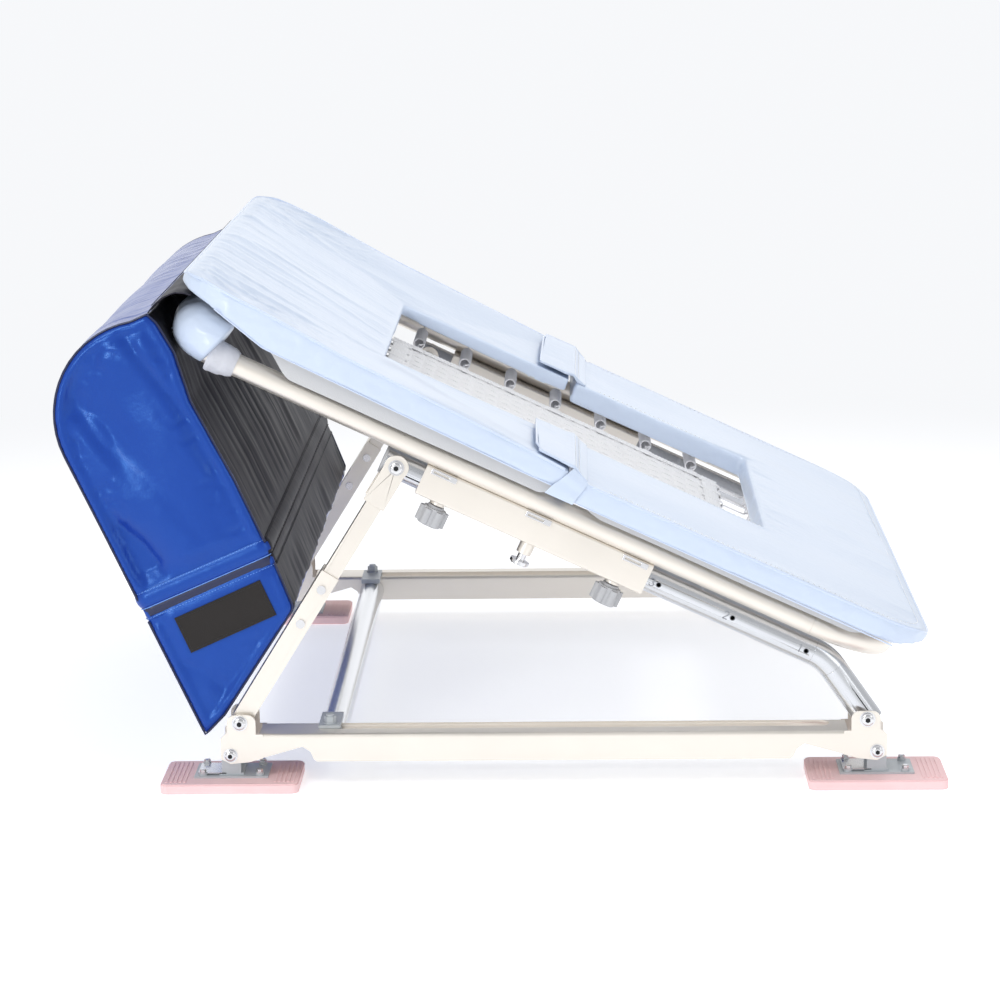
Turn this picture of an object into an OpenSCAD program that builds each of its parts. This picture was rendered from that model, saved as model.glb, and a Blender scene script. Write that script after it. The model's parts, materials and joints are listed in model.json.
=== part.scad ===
// Gymnastics trampette with a foam safety wedge at its high end.
// X runs along the base from the high end to the low end, Y across, Z up.
// "left" is the -Y side and "right" is the +Y side.

/* [Base] */
// Distance between the foot pivots of one rail
foot_span = 1000; // [980:1:1020]
// Height of the foot pivots
foot_pivot_z = 51; // [48:1:53]
// Distance from the middle to the outer face of a base rail
rail_y = 600; // [596:1:604]
// Width of a base rail
rail_w = 72; // [70:1:76]
// Height of the rail's top face
rail_top = 84; // [82:1:86]
// Height of the rail's lower edge at mid length
rail_bottom = 40; // [36:1:44]
// Sheet thickness of rails, legs and brackets
sheet = 3; // [2.5:0.5:3.5]
// Half the distance between the upper ear bolts of one rail
ear_x = 484.6; // [482:0.1:487]
// Height of the upper ear bolts
ear_z = 102; // [100:0.5:104]
// Diameter of the cross tube
cross_d = 44; // [40:1:44]
// Distance from the middle of the base to the cross tube at rest
cross_x = 348; // [330:1:350]

/* [Feet] */
// Length of a foot block
foot_l = 214; // [200:1:220]
// Width of a foot block
foot_w = 139; // [125:1:145]
// Height of a foot block
foot_h = 15; // [12:1:18]

/* [Legs and slide tubes] */
// Distance between a leg's two bolts
leg_l = 470; // [466:1:474]
// Angle of the legs above the floor
leg_angle = 57.9; // [57.5:0.1:58.3]
// Distance from the middle to the slide tube's centre line
tube_y = 564; // [563:1:565]
// Diameter of a slide tube
tube_d = 43; // [42:0.5:43.5]
// Travel from position 3 to position 1
travel = 250; // [240:5:250]

/* [Deck] */
// Angle of the deck
deck_angle = 25.1; // [24.8:0.1:25.4]
// Height of the deck plane above the middle of the base
deck_h = 504.5; // [502:0.5:507]
// Diameter of the top frame's tube
ring_d = 35; // [33:0.5:35]
// Distance from the middle to the frame's side tubes
ring_y = 582.5; // [581:0.5:583]
// Half the width of the pads
pad_y = 622; // [618:1:626]
// Half the width of the pads' opening
open_y = 302; // [298:1:306]
// Half the width of the bed
bed_y = 290; // [285:1:292]

/* [Wedge] */
// Half the width of the wedge
wedge_y = 589; // [580:1:592]
// Radius of the wedge's rounded back
wedge_r = 148; // [144:1:149]
// Height of the middle of that rounding
wedge_z = 584; // [580:1:588]

/* [Hidden] */
$fn = 48;

// Fits and gaps
run = 0.05;
gap = 0.3;

// Sections of the base
rail_in = rail_y - rail_w;
bend_r = 6;
channel_x = 455;
foot_x = foot_span / 2;
foot_y = 569;
foot_bolt_d = 10;
ear_bolt_d = 12;
web_y = [-rail_y, -rail_in - sheet];
slot_y = 551;
slot_w = 34;
slot_x = [-356, 429];
rail_half = [
    [366, rail_bottom], [371, rail_bottom + 4], [376, 56], [388, 64],
    [444, 48], [channel_x + 5, 45], [channel_x + 5, rail_top + 10]
];

// The whole part is centred on its box: wedge back to foot end
wedge_x = -609;
wedge_back = wedge_r - wedge_x + 2;
foot_end = foot_x + foot_l / 2;
base_x = (wedge_back - foot_end) / 2;

// Deck heights along the deck's normal, from the deck plane
ring_n = -61;
sleeve_w = 50;
axis_n = ring_n - ring_d / 2 - sleeve_w / 2;
sleeve_s = [-169, 211];
sleeve_low = axis_n - sleeve_w / 2;
tip_n = axis_n - tube_d / 2 - 0.4;
knob_s = [-130, 165];
pin_s = 22;
pin_pitch = travel / 2;
tube_bore = tube_d - 6;
bend_angle = 30;
bend_radius = 80;
joint_gap = 0.02;

// Ends of the slide tubes in deck coordinates [s, n]
function deck_s(x, z) = x * cos(deck_angle) - (z - deck_h) * sin(deck_angle);
function deck_n(x, z) = x * sin(deck_angle) + (z - deck_h) * cos(deck_angle);
top_x = -ear_x + leg_l * cos(leg_angle);
top_z = ear_z + leg_l * sin(leg_angle);
top_s = deck_s(top_x, top_z);
top_n = deck_n(top_x, top_z);
tube_s = top_s - 20;
low_s = deck_s(ear_x, ear_z);
low_n = deck_n(ear_x, ear_z);
bend_s = low_s - (axis_n - low_n) / tan(bend_angle);
bend_t = bend_radius * tan(bend_angle / 2);
tail = (axis_n - low_n) / sin(bend_angle) - bend_t + 12;

// Top frame
ring_s = [-574.5, 599.5];
ring_wall = 2.5;
corner_high = 45;
corner_low = 130;

// Bed and springs
bed_s = [-285, 345];
bed_n = ring_n;
hem_w = 40;
side_springs = 7;
end_springs = 8;

// Pads
pad_s = [-630, 648];
open_s = [-292, 377];
pad_corner = 100;
joint_s = 45;
roll_n = -37;
roll_d = 88;

// Wedge outline [x, z]
wedge_arc = [for (a = [100 : 7.5 : 205]) [wedge_x + wedge_r * cos(a), wedge_z + wedge_r * sin(a)]];
wedge_outline = concat(
    [[-609, 741]], wedge_arc,
    [[-539, 80], [-508, 112], [-396, 281], [-429, 366], [-481, 482], [-546, 607], [-569, 682], [-595, 728]]
);
seam_a = [-800, 207];
seam_b = [-380, 388];

// ---- helpers ----
module at_base() translate([base_x, 0, 0]) children();
module at_deck() at_base() translate([0, 0, deck_h]) rotate([0, deck_angle, 0]) children();
module at_leg() at_base() translate([-ear_x, 0, ear_z]) rotate([0, -leg_angle, 0]) children();
module on_side(right) mirror([0, right ? 1 : 0, 0]) children();
module both_sides() for (right = [false, true]) on_side(right) children();
module both_ends() for (low = [0, 1]) mirror([low, 0, 0]) children();
module rod_y(d, y0, y1) translate([0, y1, 0]) rotate([90, 0, 0]) cylinder(d = d, h = y1 - y0);
module slab_y(y0, y1) translate([0, y1, 0]) rotate([90, 0, 0]) linear_extrude(y1 - y0) children();
module along_x(x0, x1) translate([x0, 0, 0]) rotate([90, 0, 90]) linear_extrude(x1 - x0) children();
module rounded_rect(x0, x1, y0, y1, r) {
    translate([x0 + r, y0]) square([x1 - x0 - 2 * r, y1 - y0]);
    translate([x0, y0 + r]) square([x1 - x0, y1 - y0 - 2 * r]);
    for (x = [x0 + r, x1 - r], y = [y0 + r, y1 - r]) translate([x, y]) circle(r);
}
module stadium(x0, x1, w) {
    translate([x0 + w / 2, -w / 2]) square([x1 - x0 - w, w]);
    for (x = [x0 + w / 2, x1 - w / 2]) translate([x, 0]) circle(d = w);
}

// ---- base rails ----
function corner(y, z, r, a0) = [for (a = [a0 : 15 : a0 + 90]) [y + r * cos(a), z + r * sin(a)]];
module arch(y0, y1, z0, z1, r) polygon(concat(
    [[y0, z0], [y1, z0]], corner(y1 - r, z1 - r, r, 0), corner(y0 + r, z1 - r, r, 90)
));
module ear_plate() polygon(concat(
    [[channel_x - 6, rail_top], [channel_x - 6, 46], [470, rail_bottom], [500, 37], [515, 45], [515, 78], [509, rail_top]],
    [[505, rail_top + 2]], corner(492, ear_z, 13, 0), corner(473, ear_z, 13, 90), [[460, rail_top + 2], [460, rail_top]]
));
module rail_left() difference() {
    union() {
        intersection() {
            along_x(-channel_x, channel_x) difference() {
                arch(-rail_y, -rail_in, 20, rail_top, bend_r);
                arch(-rail_y + sheet, -rail_in - sheet, 10, rail_top - sheet, bend_r - sheet);
            }
            slab_y(-rail_y - 1, -rail_in + 1) polygon(concat(rail_half, [for (k = [len(rail_half) - 1 : -1 : 0])
                [-rail_half[k][0], rail_half[k][1]]]));
        }
        both_ends() for (y = web_y) slab_y(y, y + sheet) ear_plate();
    }
    translate([0, -slot_y, rail_top - 10]) linear_extrude(20) stadium(slot_x[0], slot_x[1], slot_w);
    both_ends() {
        translate([foot_x, 0, foot_pivot_z]) rod_y(foot_bolt_d + 2 * run, -rail_y - 5, -rail_in + 5);
        translate([ear_x, 0, ear_z]) rod_y(ear_bolt_d + 2 * run, -rail_y - 5, -rail_in + 5);
    }
}
module base_rail_left() color("wheat") at_base() rail_left();
module base_rail_right() color("wheat") at_base() on_side(true) rail_left();

// ---- bolts across the rails ----
module cross_bolt(d, y0, y1, head_d, head_h) {
    rod_y(d, y0, y1);
    rod_y(head_d, y0 - head_h, y0);
    rod_y(head_d, y1, y1 + head_h);
}
module foot_bolt(high, right) color("silver") at_base() on_side(right)
    translate([high ? -foot_x : foot_x, 0, foot_pivot_z])
        cross_bolt(foot_bolt_d, -rail_y, -rail_in, 18, 6);
module foot_bolt_high_left() foot_bolt(true, false);
module foot_bolt_high_right() foot_bolt(true, true);
module foot_bolt_low_left() foot_bolt(false, false);
module foot_bolt_low_right() foot_bolt(false, true);
module ear_bolts(right) color("silver") at_base() on_side(right) both_ends()
    translate([ear_x, 0, ear_z]) cross_bolt(ear_bolt_d, -rail_y, -rail_in, 20, 6);
module ear_bolts_left() ear_bolts(false);
module ear_bolts_right() ear_bolts(true);

// ---- feet ----
module foot_block(high, right) color("pink") at_base() on_side(right)
    translate([high ? -foot_x : foot_x, -foot_y, 0]) {
        linear_extrude(foot_h - 2) rounded_rect(-foot_l / 2, foot_l / 2, -foot_w / 2, foot_w / 2, 12);
        translate([0, 0, foot_h - 2]) linear_extrude(2)
            rounded_rect(-foot_l / 2 + 2, foot_l / 2 - 2, -foot_w / 2 + 2, foot_w / 2 - 2, 10);
    }
module foot_block_high_left() foot_block(true, false);
module foot_block_high_right() foot_block(true, true);
module foot_block_low_left() foot_block(false, false);
module foot_block_low_right() foot_block(false, true);

lug_y = [-rail_y + sheet + 4, -rail_in - sheet - 8];
tray = [115, 78];
module foot_bracket(high, right) color("darkgray") at_base() on_side(right)
    translate([high ? -foot_x : foot_x, 0, 0]) difference() {
        union() {
            translate([-tray[0] / 2, -tube_y - tray[1] / 2, foot_h]) cube([tray[0], tray[1], 3]);
            translate([-19, lug_y[0], foot_h + 3]) cube([38, lug_y[1] - lug_y[0] + 4, 3]);
            for (y = lug_y) slab_y(y, y + 4) {
                translate([-15, foot_h + 3]) square([30, foot_pivot_z - foot_h - 3]);
                translate([0, foot_pivot_z]) circle(15);
            }
            for (x = [-44, 44], y = [-30, 30]) translate([x, y - tube_y, foot_h + 3]) cylinder(d = 13, h = 4);
        }
        translate([0, 0, foot_pivot_z]) rod_y(foot_bolt_d + 2 * run, -rail_y, -rail_in);
    }
module foot_bracket_high_left() foot_bracket(true, false);
module foot_bracket_high_right() foot_bracket(true, true);
module foot_bracket_low_left() foot_bracket(false, false);
module foot_bracket_low_right() foot_bracket(false, true);

// ---- legs: a folded channel below, a tube with a fork above ----
channel_h = 15;
channel_half = 25;
channel_l = 273;
rivet_u = [183, 246];
rivet_d = 8;
leg_tube_u = [150, leg_l - tube_d / 2 - 7];
module leg_channel(right) color("wheat") on_side(right) at_leg() difference() {
    union() {
        slab_y(-tube_y - channel_half, -tube_y + channel_half) {
            translate([0, -channel_h]) square([channel_l, 2 * channel_h]);
            circle(channel_h);
        }
        rod_y(24, -rail_y + sheet, -tube_y - channel_half);
        rod_y(24, -tube_y + channel_half, -rail_in - sheet);
    }
    slab_y(-tube_y - channel_half + sheet, -tube_y + channel_half - sheet)
        translate([-channel_h - 1, -channel_h - 1]) square([channel_l + channel_h + 2, 2 * channel_h - sheet + 1]);
    rod_y(ear_bolt_d + 2 * run, -rail_y, -rail_in);
    for (u = rivet_u) translate([u, 0, 0]) rod_y(rivet_d + 2 * run, -rail_y, -rail_in);
}
module leg_channel_left() leg_channel(false);
module leg_channel_right() leg_channel(true);

module leg_tube(right) color("wheat") on_side(right) at_leg() difference() {
    union() {
        translate([leg_tube_u[0], -tube_y - 21.8, -14]) cube([leg_tube_u[1] - leg_tube_u[0], 43.6, 25.8]);
        for (y = [-tube_y - 26, -tube_y + 21.8]) slab_y(y, y + 4.2) {
            translate([leg_tube_u[1] - 40, -18]) square([leg_l - leg_tube_u[1] + 40, 36]);
            translate([leg_l, 0]) circle(19);
        }
    }
    translate([leg_tube_u[0] - 1, -tube_y - 19.3, -11.5]) cube([leg_tube_u[1] - leg_tube_u[0] - 2, 38.6, 20.8]);
    translate([leg_l, 0, 0]) rod_y(ear_bolt_d + 2 * run, -rail_y, -rail_in);
    for (u = rivet_u) translate([u, 0, 0]) rod_y(rivet_d + 2 * run, -rail_y, -rail_in);
}
module leg_tube_left() leg_tube(false);
module leg_tube_right() leg_tube(true);

module leg_rivets() color("silver") both_sides() at_leg() for (u = rivet_u) translate([u, 0, 0])
    cross_bolt(rivet_d, -tube_y - channel_half, -tube_y + channel_half, 14, 3);

module top_bolts() color("silver") both_sides() at_leg() translate([leg_l, 0, 0])
    cross_bolt(ear_bolt_d, -tube_y - 26, -tube_y + 26, 20, 6);

// ---- slide tubes: straight under the deck, bent down to the low ear ----
module tube_ring() difference() {
    circle(d = tube_d);
    circle(d = tube_bore);
}
// The straight run, the bend and the tail meet end to end
bend_at = bend_s - bend_t;
module tube_straight() difference() {
    translate([0, -tube_y, axis_n]) along_x(tube_s, bend_at) tube_ring();
    for (k = [0 : 2]) {
        translate([pin_s + k * pin_pitch, -tube_y, axis_n - tube_d]) cylinder(d = 15, h = tube_d);
        translate([sleeve_s[1] + 19 + k * pin_pitch, 0, axis_n]) rod_y(7, -tube_y - tube_d, -tube_y);
    }
    translate([top_s, 0, top_n]) rod_y(ear_bolt_d + 2 * run, -rail_y, -rail_in);
}
module tube_bend() translate([bend_at + joint_gap, -tube_y, axis_n - bend_radius]) rotate([90, 0, 0])
    rotate([0, 0, 90 - bend_angle]) rotate_extrude(angle = bend_angle) translate([bend_radius, 0]) tube_ring();
module tube_tail() difference() {
    translate([bend_at + joint_gap, -tube_y, axis_n - bend_radius]) rotate([0, bend_angle, 0])
        translate([0, 0, bend_radius]) along_x(joint_gap, tail) tube_ring();
    translate([low_s, 0, low_n]) rod_y(ear_bolt_d + 2 * run, -rail_y, -rail_in);
}
module slide_tube(right) color("lightsteelblue") on_side(right) at_deck() {
    tube_straight();
    tube_bend();
    tube_tail();
}
module slide_tube_left() slide_tube(false);
module slide_tube_right() slide_tube(true);
module slide_tube_caps() color("darkgray") both_sides() at_deck()
    translate([tube_s - 4, -tube_y, axis_n]) rotate([0, 90, 0]) cylinder(d = tube_d, h = 4);

// ---- cross tube, clamped through the rails' slots ----
clamp_l = 34;
tongue_z = rail_top + gap;
module cross_tube() color("lightsteelblue") at_base() translate([-cross_x, 0, rail_top - 3 - cross_d / 2])
    difference() {
        rod_y(cross_d, -rail_in + 2, rail_in - 2);
        rod_y(cross_d - 5, -rail_in + 1, rail_in - 1);
    }
module cross_clamps() color("darkgray") both_sides() at_base() translate([-cross_x, 0, 0]) difference() {
    union() {
        translate([-clamp_l / 2, -rail_in + 4, rail_top - 3]) cube([clamp_l, 40, 3 + gap]);
        translate([-clamp_l / 2, -slot_y - 17, tongue_z]) cube([clamp_l, 17 + slot_y - rail_in + 44, 5]);
        translate([0, -slot_y, rail_top - sheet - gap - 6]) cylinder(d = 15, h = sheet + 2 * gap + 6);
        translate([-17, -slot_y - 20, rail_top - sheet - gap - 6]) cube([34, 36, 6]);
        translate([-20, -slot_y - 22, rail_top - sheet - gap - 9]) cube([40, 40, 3]);
    }
    translate([0, -slot_y, 0]) cylinder(d = ear_bolt_d + 2 * run, h = 200);
}
module cross_bolts() color("silver") both_sides() at_base() translate([-cross_x, -slot_y, 0]) {
    translate([0, 0, rail_top - sheet - gap - 15]) cylinder(d = ear_bolt_d, h = 38);
    translate([0, 0, rail_top - sheet - gap - 17]) cylinder(d = 19, h = 8);
    translate([0, 0, tongue_z + 5]) cylinder(d = 22, h = 2);
    translate([0, 0, tongue_z + 7]) cylinder(d = 19, h = 9, $fn = 6);
}

// ---- sliding sleeves under the top frame ----
bush_l = 34;
module sleeve(right) color("tan") on_side(right) at_deck() difference() {
    union() {
        translate([0, -tube_y, axis_n]) along_x(sleeve_s[0], sleeve_s[1])
            rounded_rect(-sleeve_w / 2, sleeve_w / 2, -sleeve_w / 2, sleeve_w / 2, 4);
        for (s = knob_s) translate([s, -tube_y, sleeve_low - 6]) cylinder(d = 24, h = 7);
        translate([pin_s, -tube_y, sleeve_low - 20]) cylinder(d = 24, h = 21);
    }
    translate([sleeve_s[0] - 1, -tube_y, axis_n]) rotate([0, 90, 0])
        cylinder(d = tube_d + 2 * run, h = sleeve_s[1] - sleeve_s[0] + 2);
    translate([sleeve_s[0] + bush_l, -tube_y - 22, axis_n - 22])
        cube([sleeve_s[1] - sleeve_s[0] - 2 * bush_l, 44, 44]);
    for (s = knob_s) translate([s, -tube_y, axis_n - 60]) cylinder(d = ear_bolt_d + 2 * run, h = 60);
    translate([pin_s, -tube_y, axis_n - 60]) cylinder(d = 14 + 2 * run, h = 60);
}
module sleeve_left() sleeve(false);
module sleeve_right() sleeve(true);

// ---- clamp knobs: a star head on a screw ----
module clamp_knob(low, right) color("darkgray") on_side(right) at_deck()
    translate([knob_s[low ? 1 : 0], -tube_y, sleeve_low]) {
        translate([0, 0, -12]) cylinder(d = ear_bolt_d, h = 12 + tip_n - sleeve_low);
        translate([0, 0, -12]) cylinder(d = 26, h = 4);
        translate([0, 0, -40]) cylinder(d = 36, h = 28);
        for (k = [0 : 5]) rotate([0, 0, 60 * k]) translate([17, 0, -38]) cylinder(d = 13, h = 24);
    }
module clamp_knob_high_left() clamp_knob(false, false);
module clamp_knob_high_right() clamp_knob(false, true);
module clamp_knob_low_left() clamp_knob(true, false);
module clamp_knob_low_right() clamp_knob(true, true);

// ---- index pins ----
module index_pin(right) color("silver") on_side(right) at_deck() translate([pin_s, -tube_y, 0]) {
    translate([0, 0, sleeve_low - 32]) cylinder(d = 14, h = 32 + tip_n - sleeve_low);
    translate([0, 0, sleeve_low - 37]) cylinder(d = 31, h = 5);
    translate([0, 0, sleeve_low - 39]) cylinder(d = 26, h = 2);
}
module index_pin_left() index_pin(false);
module index_pin_right() index_pin(true);

// ---- top frame: two side tubes, two bent end tubes ----
module frame_side(right) color("wheat") on_side(right) at_deck()
    translate([ring_s[0] + corner_high, -ring_y, ring_n]) along_x(0, ring_s[1] - corner_low - ring_s[0] - corner_high)
        difference() {
            circle(d = ring_d);
            circle(d = ring_d - 2 * ring_wall);
        }
module frame_side_left() frame_side(false);
module frame_side_right() frame_side(true);
module end_path(s, r, sign, d) {
    translate([s, 0, ring_n]) rod_y(d, -ring_y + r, ring_y - r);
    both_sides() translate([s - sign * r, -ring_y + r, ring_n]) rotate([0, 0, sign > 0 ? -90 : 180])
        rotate_extrude(angle = 90) translate([r, 0]) circle(d = d);
}
module frame_end(s, r, sign) difference() {
    end_path(s, r, sign, ring_d);
    end_path(s, r, sign, ring_d - 2 * ring_wall);
}
module frame_high() color("wheat") at_deck() frame_end(ring_s[0], corner_high, -1);
module frame_low() color("wheat") at_deck() frame_end(ring_s[1], corner_low, 1);

// Slotted clips under the side tubes, for the pads' elastic loops
clip_s = [-139, 19, 182];
module frame_clips() color("gainsboro") both_sides() at_deck() for (s = clip_s)
    translate([s, -tube_y - sleeve_w / 2, axis_n + 14]) difference() {
        translate([-21, -3, 0]) cube([42, 3, 9]);
        translate([-17, -4, 3]) cube([26, 5, 3]);
    }

// ---- bed, hem and springs ----
module bed_web() color("whitesmoke") at_deck()
    translate([bed_s[0] + hem_w, -bed_y + hem_w, bed_n - 2]) cube([bed_s[1] - bed_s[0] - 2 * hem_w, 2 * (bed_y - hem_w), 4]);
module bed_hem() color("whitesmoke") at_deck() difference() {
    translate([bed_s[0], -bed_y, bed_n - 4]) cube([bed_s[1] - bed_s[0], 2 * bed_y, 8]);
    translate([bed_s[0] + hem_w, -bed_y + hem_w, bed_n - 5])
        cube([bed_s[1] - bed_s[0] - 2 * hem_w, 2 * (bed_y - hem_w), 10]);
}

// One spring from the origin along +X over length l: a coil body between two wire hooks
coil_l = 130;
module spring(l) rotate([0, 90, 0]) {
    translate([0, 0, gap]) cylinder(d = 4, h = l - 2 * gap);
    translate([0, 0, (l - coil_l) / 2]) cylinder(d = 18, h = coil_l);
}
function spread(a, b, n) = [for (k = [0 : n - 1]) a + (b - a) * (k + 0.5) / n];
module side_spring_row(right) color("silver") on_side(right) at_deck()
    for (s = spread(bed_s[0], bed_s[1], side_springs)) translate([s, -bed_y, bed_n]) rotate([0, 0, -90])
        spring(ring_y - ring_d / 2 - bed_y);
module springs_left() side_spring_row(false);
module springs_right() side_spring_row(true);
module springs_low() color("silver") at_deck() for (y = spread(-bed_y, bed_y, end_springs))
    translate([bed_s[1], y, bed_n]) spring(ring_s[1] - ring_d / 2 - bed_s[1]);
module springs_high() color("silver") at_deck() for (y = spread(-bed_y, bed_y, end_springs))
    translate([bed_s[0], y, bed_n]) rotate([0, 0, 180]) spring(bed_s[0] - ring_s[0] - ring_d / 2);

// ---- pads ----
module pad_plan() intersection() {
    rounded_rect(pad_s[0], pad_s[1], -pad_y, pad_y, pad_corner);
    difference() {
        square([2000, 2000], center = true);
        translate([open_s[0], -open_y]) square([open_s[1] - open_s[0], 2 * open_y]);
    }
}
module pad(profile) intersection() {
    slab_y(-pad_y, pad_y) polygon(profile);
    translate([0, 0, -100]) linear_extrude(200) pad_plan();
}
// The upper pad's top falls from its outer edges to the opening
module pad_bowl() hull() for (n = [0, 150]) {
    for (y = [-open_y, open_y], s = [open_s[0], 60]) translate([s, y, n]) cube(0.01);
    for (y = [-pad_y, pad_y]) {
        translate([60, y, n + 8]) cube(0.01);
        translate([-640, y, n + 45]) cube(0.01);
    }
}
module pad_upper() color("lightblue") at_deck() difference() {
    pad([
        [30, -25], [30, 7], [-40, 12], [-360, 26], [-500, 38], [-590, 42], [-622, 36], [-630, 26],
        [-622, 16], [-560, 9], [-470, -15], [-40, -25]
    ]);
    pad_bowl();
}
module pad_lower() color("lightblue") at_deck() pad([
    [joint_s, -36], [joint_s, 0], [630, 0], [645, -5], [648, -14], [640, -22], [590, -34]
]);

// Cover flaps of the lower pad that lie over the joint
module flap(right) color("lightblue") on_side(right) at_deck() intersection() {
    slab_y(-pad_y + 4, -open_y - 3)
        polygon([[62, 0.3], [62, 3], [48, 8], [34, 17], [-32, 18], [-32, 14.5], [34, 12], [46, 2]]);
    translate([0, 0, -50]) linear_extrude(100)
        polygon([[-32, -open_y], [62, -open_y], [62, -pad_y], [-26, -pad_y + 10]]);
}
module flap_left() flap(false);
module flap_right() flap(true);

// Padded roll round the frame's high end and its corners, with a collar beside each corner
module end_roll() color("lightsteelblue") at_deck() difference() {
    union() {
        translate([ring_s[0], 0, roll_n]) rod_y(roll_d, -ring_y + corner_high, ring_y - corner_high);
        both_sides() translate([ring_s[0] + corner_high, -ring_y + corner_high, roll_n - 5]) rotate([0, 0, 180])
            rotate_extrude(angle = 80) translate([corner_high, 0]) circle(d = roll_d - 12);
    }
    end_path(ring_s[0], corner_high, -1, ring_d + 2 * gap);
    for (y = spread(-bed_y, bed_y, end_springs)) translate([ring_s[0], y - 3, ring_n - 3]) cube([60, 6, 6]);
}
module roll_collars() color("lightgray") both_sides() at_deck() difference() {
    translate([-529, -ring_y, ring_n]) rotate([0, 90, 0]) cylinder(d = 44, h = 32);
    translate([-530, -ring_y, ring_n]) rotate([0, 90, 0]) cylinder(d = ring_d + 2 * gap, h = 34);
}

// Elastic loops that tie the lower pad to the frame's low end
module pad_straps() color("black") both_sides() at_deck() difference() {
    union() {
        translate([ring_s[1], 0, ring_n]) rod_y(41, -ring_y + 145, -ring_y + 175);
        translate([ring_s[1] - 20.5, -ring_y + 145, ring_n]) cube([3, 30, -ring_n - 37]);
        translate([ring_s[1] + 17.5, -ring_y + 145, ring_n]) cube([3, 30, -ring_n - 34]);
    }
    translate([ring_s[1], 0, ring_n]) rod_y(ring_d + 2 * gap, -ring_y, 0);
}

// ---- wedge: one foam block in a cover whose lower end zips off ----
module wedge_block() slab_y(-wedge_y, wedge_y) polygon(wedge_outline);
module seam_side(upper) slab_y(-700, 700)
    polygon(concat([seam_a, seam_b], upper ? [[-300, 900], [-900, 900]] : [[-300, -100], [-900, -100]]));
module wedge_upper() color("royalblue") at_base() intersection() {
    wedge_block();
    seam_side(true);
}
module wedge_lower() color("royalblue") at_base() intersection() {
    wedge_block();
    seam_side(false);
}
// Zip band that runs round the block along the seam
module wedge_zip() color("midnightblue") at_base() difference() {
    intersection() {
        slab_y(-wedge_y - 2, wedge_y + 2) translate(seam_a)
            rotate(atan2(seam_b[1] - seam_a[1], seam_b[0] - seam_a[0])) translate([155, -12]) square([262, 24]);
        slab_y(-700, 700) translate([3, 1]) polygon(wedge_outline);
    }
    wedge_block();
}
module wedge_patch() color("black") at_base() for (y = [-wedge_y - 1.2]) slab_y(y, y + 1.2)
    translate([-582, 270]) rotate(24) translate([0, -62]) square([146, 60]);
// Sheet that hangs from the wedge's upper edge over the padded roll
module wedge_flap() color("black") at_base() slab_y(-wedge_y, wedge_y) polygon([
    [-609, 741.5], [-600, 752], [-585, 766], [-567, 774], [-550, 773], [-540, 769],
    [-541.5, 766.5], [-551, 770], [-566.5, 771], [-583, 763.5], [-597.5, 750], [-606, 740]
]);

base_rail_left();
base_rail_right();
leg_channel_left();
leg_channel_right();
leg_tube_left();
leg_tube_right();
leg_rivets();
slide_tube_left();
slide_tube_right();
slide_tube_caps();
top_bolts();
ear_bolts_left();
ear_bolts_right();
foot_bolt_high_left();
foot_bolt_high_right();
foot_bolt_low_left();
foot_bolt_low_right();
foot_block_high_left();
foot_block_high_right();
foot_block_low_left();
foot_block_low_right();
foot_bracket_high_left();
foot_bracket_high_right();
foot_bracket_low_left();
foot_bracket_low_right();
cross_tube();
cross_clamps();
cross_bolts();
sleeve_left();
sleeve_right();
frame_side_left();
frame_side_right();
frame_high();
frame_low();
frame_clips();
clamp_knob_high_left();
clamp_knob_high_right();
clamp_knob_low_left();
clamp_knob_low_right();
index_pin_left();
index_pin_right();
bed_web();
bed_hem();
springs_high();
springs_low();
springs_left();
springs_right();
pad_upper();
pad_lower();
flap_left();
flap_right();
end_roll();
roll_collars();
pad_straps();
wedge_upper();
wedge_lower();
wedge_zip();
wedge_patch();
wedge_flap();
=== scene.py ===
"""Looks for the trampette with its end wedge pad. Shapes are drawn in millimetres and placed in metres."""
import json
import math

import bpy
import numpy as np
from mathutils import Matrix, Vector


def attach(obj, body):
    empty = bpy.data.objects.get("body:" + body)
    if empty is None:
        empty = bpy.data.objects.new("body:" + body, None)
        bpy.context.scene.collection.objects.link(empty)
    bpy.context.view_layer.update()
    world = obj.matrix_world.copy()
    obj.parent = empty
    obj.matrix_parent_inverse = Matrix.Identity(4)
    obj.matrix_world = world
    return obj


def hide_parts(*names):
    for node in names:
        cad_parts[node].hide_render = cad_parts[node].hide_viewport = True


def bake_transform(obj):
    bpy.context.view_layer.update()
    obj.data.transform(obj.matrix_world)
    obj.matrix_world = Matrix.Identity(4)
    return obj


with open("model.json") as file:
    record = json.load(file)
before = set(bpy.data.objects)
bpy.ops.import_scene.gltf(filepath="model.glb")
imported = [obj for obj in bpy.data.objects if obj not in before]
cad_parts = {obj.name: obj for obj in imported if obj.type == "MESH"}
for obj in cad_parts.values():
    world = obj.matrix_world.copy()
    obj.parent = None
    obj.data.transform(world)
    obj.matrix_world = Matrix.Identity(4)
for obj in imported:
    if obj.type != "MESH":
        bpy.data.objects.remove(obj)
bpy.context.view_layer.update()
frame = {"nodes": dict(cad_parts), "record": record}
scene = bpy.context.scene

# ---- where things are ----
BASE_X, DECK_H, DECK_ANGLE = 76.0, 504.5, math.radians(25.1)
COS, SIN = math.cos(DECK_ANGLE), math.sin(DECK_ANGLE)


def deck(points):
    """Deck points (along the slope, across, above the deck plane) as row frame metres."""
    s, y, n = np.asarray(points, float).T
    return np.column_stack([BASE_X + s * COS + n * SIN, y, DECK_H - s * SIN + n * COS]) / 1000


def deck_from(points):
    """The way back from row frame metres to deck millimetres."""
    x, y, z = np.asarray(points, float).T * 1000
    x, z = x - BASE_X, z - DECK_H
    return np.column_stack([x * COS - z * SIN, y, x * SIN + z * COS])


def base(points):
    return (np.asarray(points, float) + [BASE_X, 0, 0]) / 1000


def base_from(points):
    return np.asarray(points, float) * 1000 - [BASE_X, 0, 0]


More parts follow.
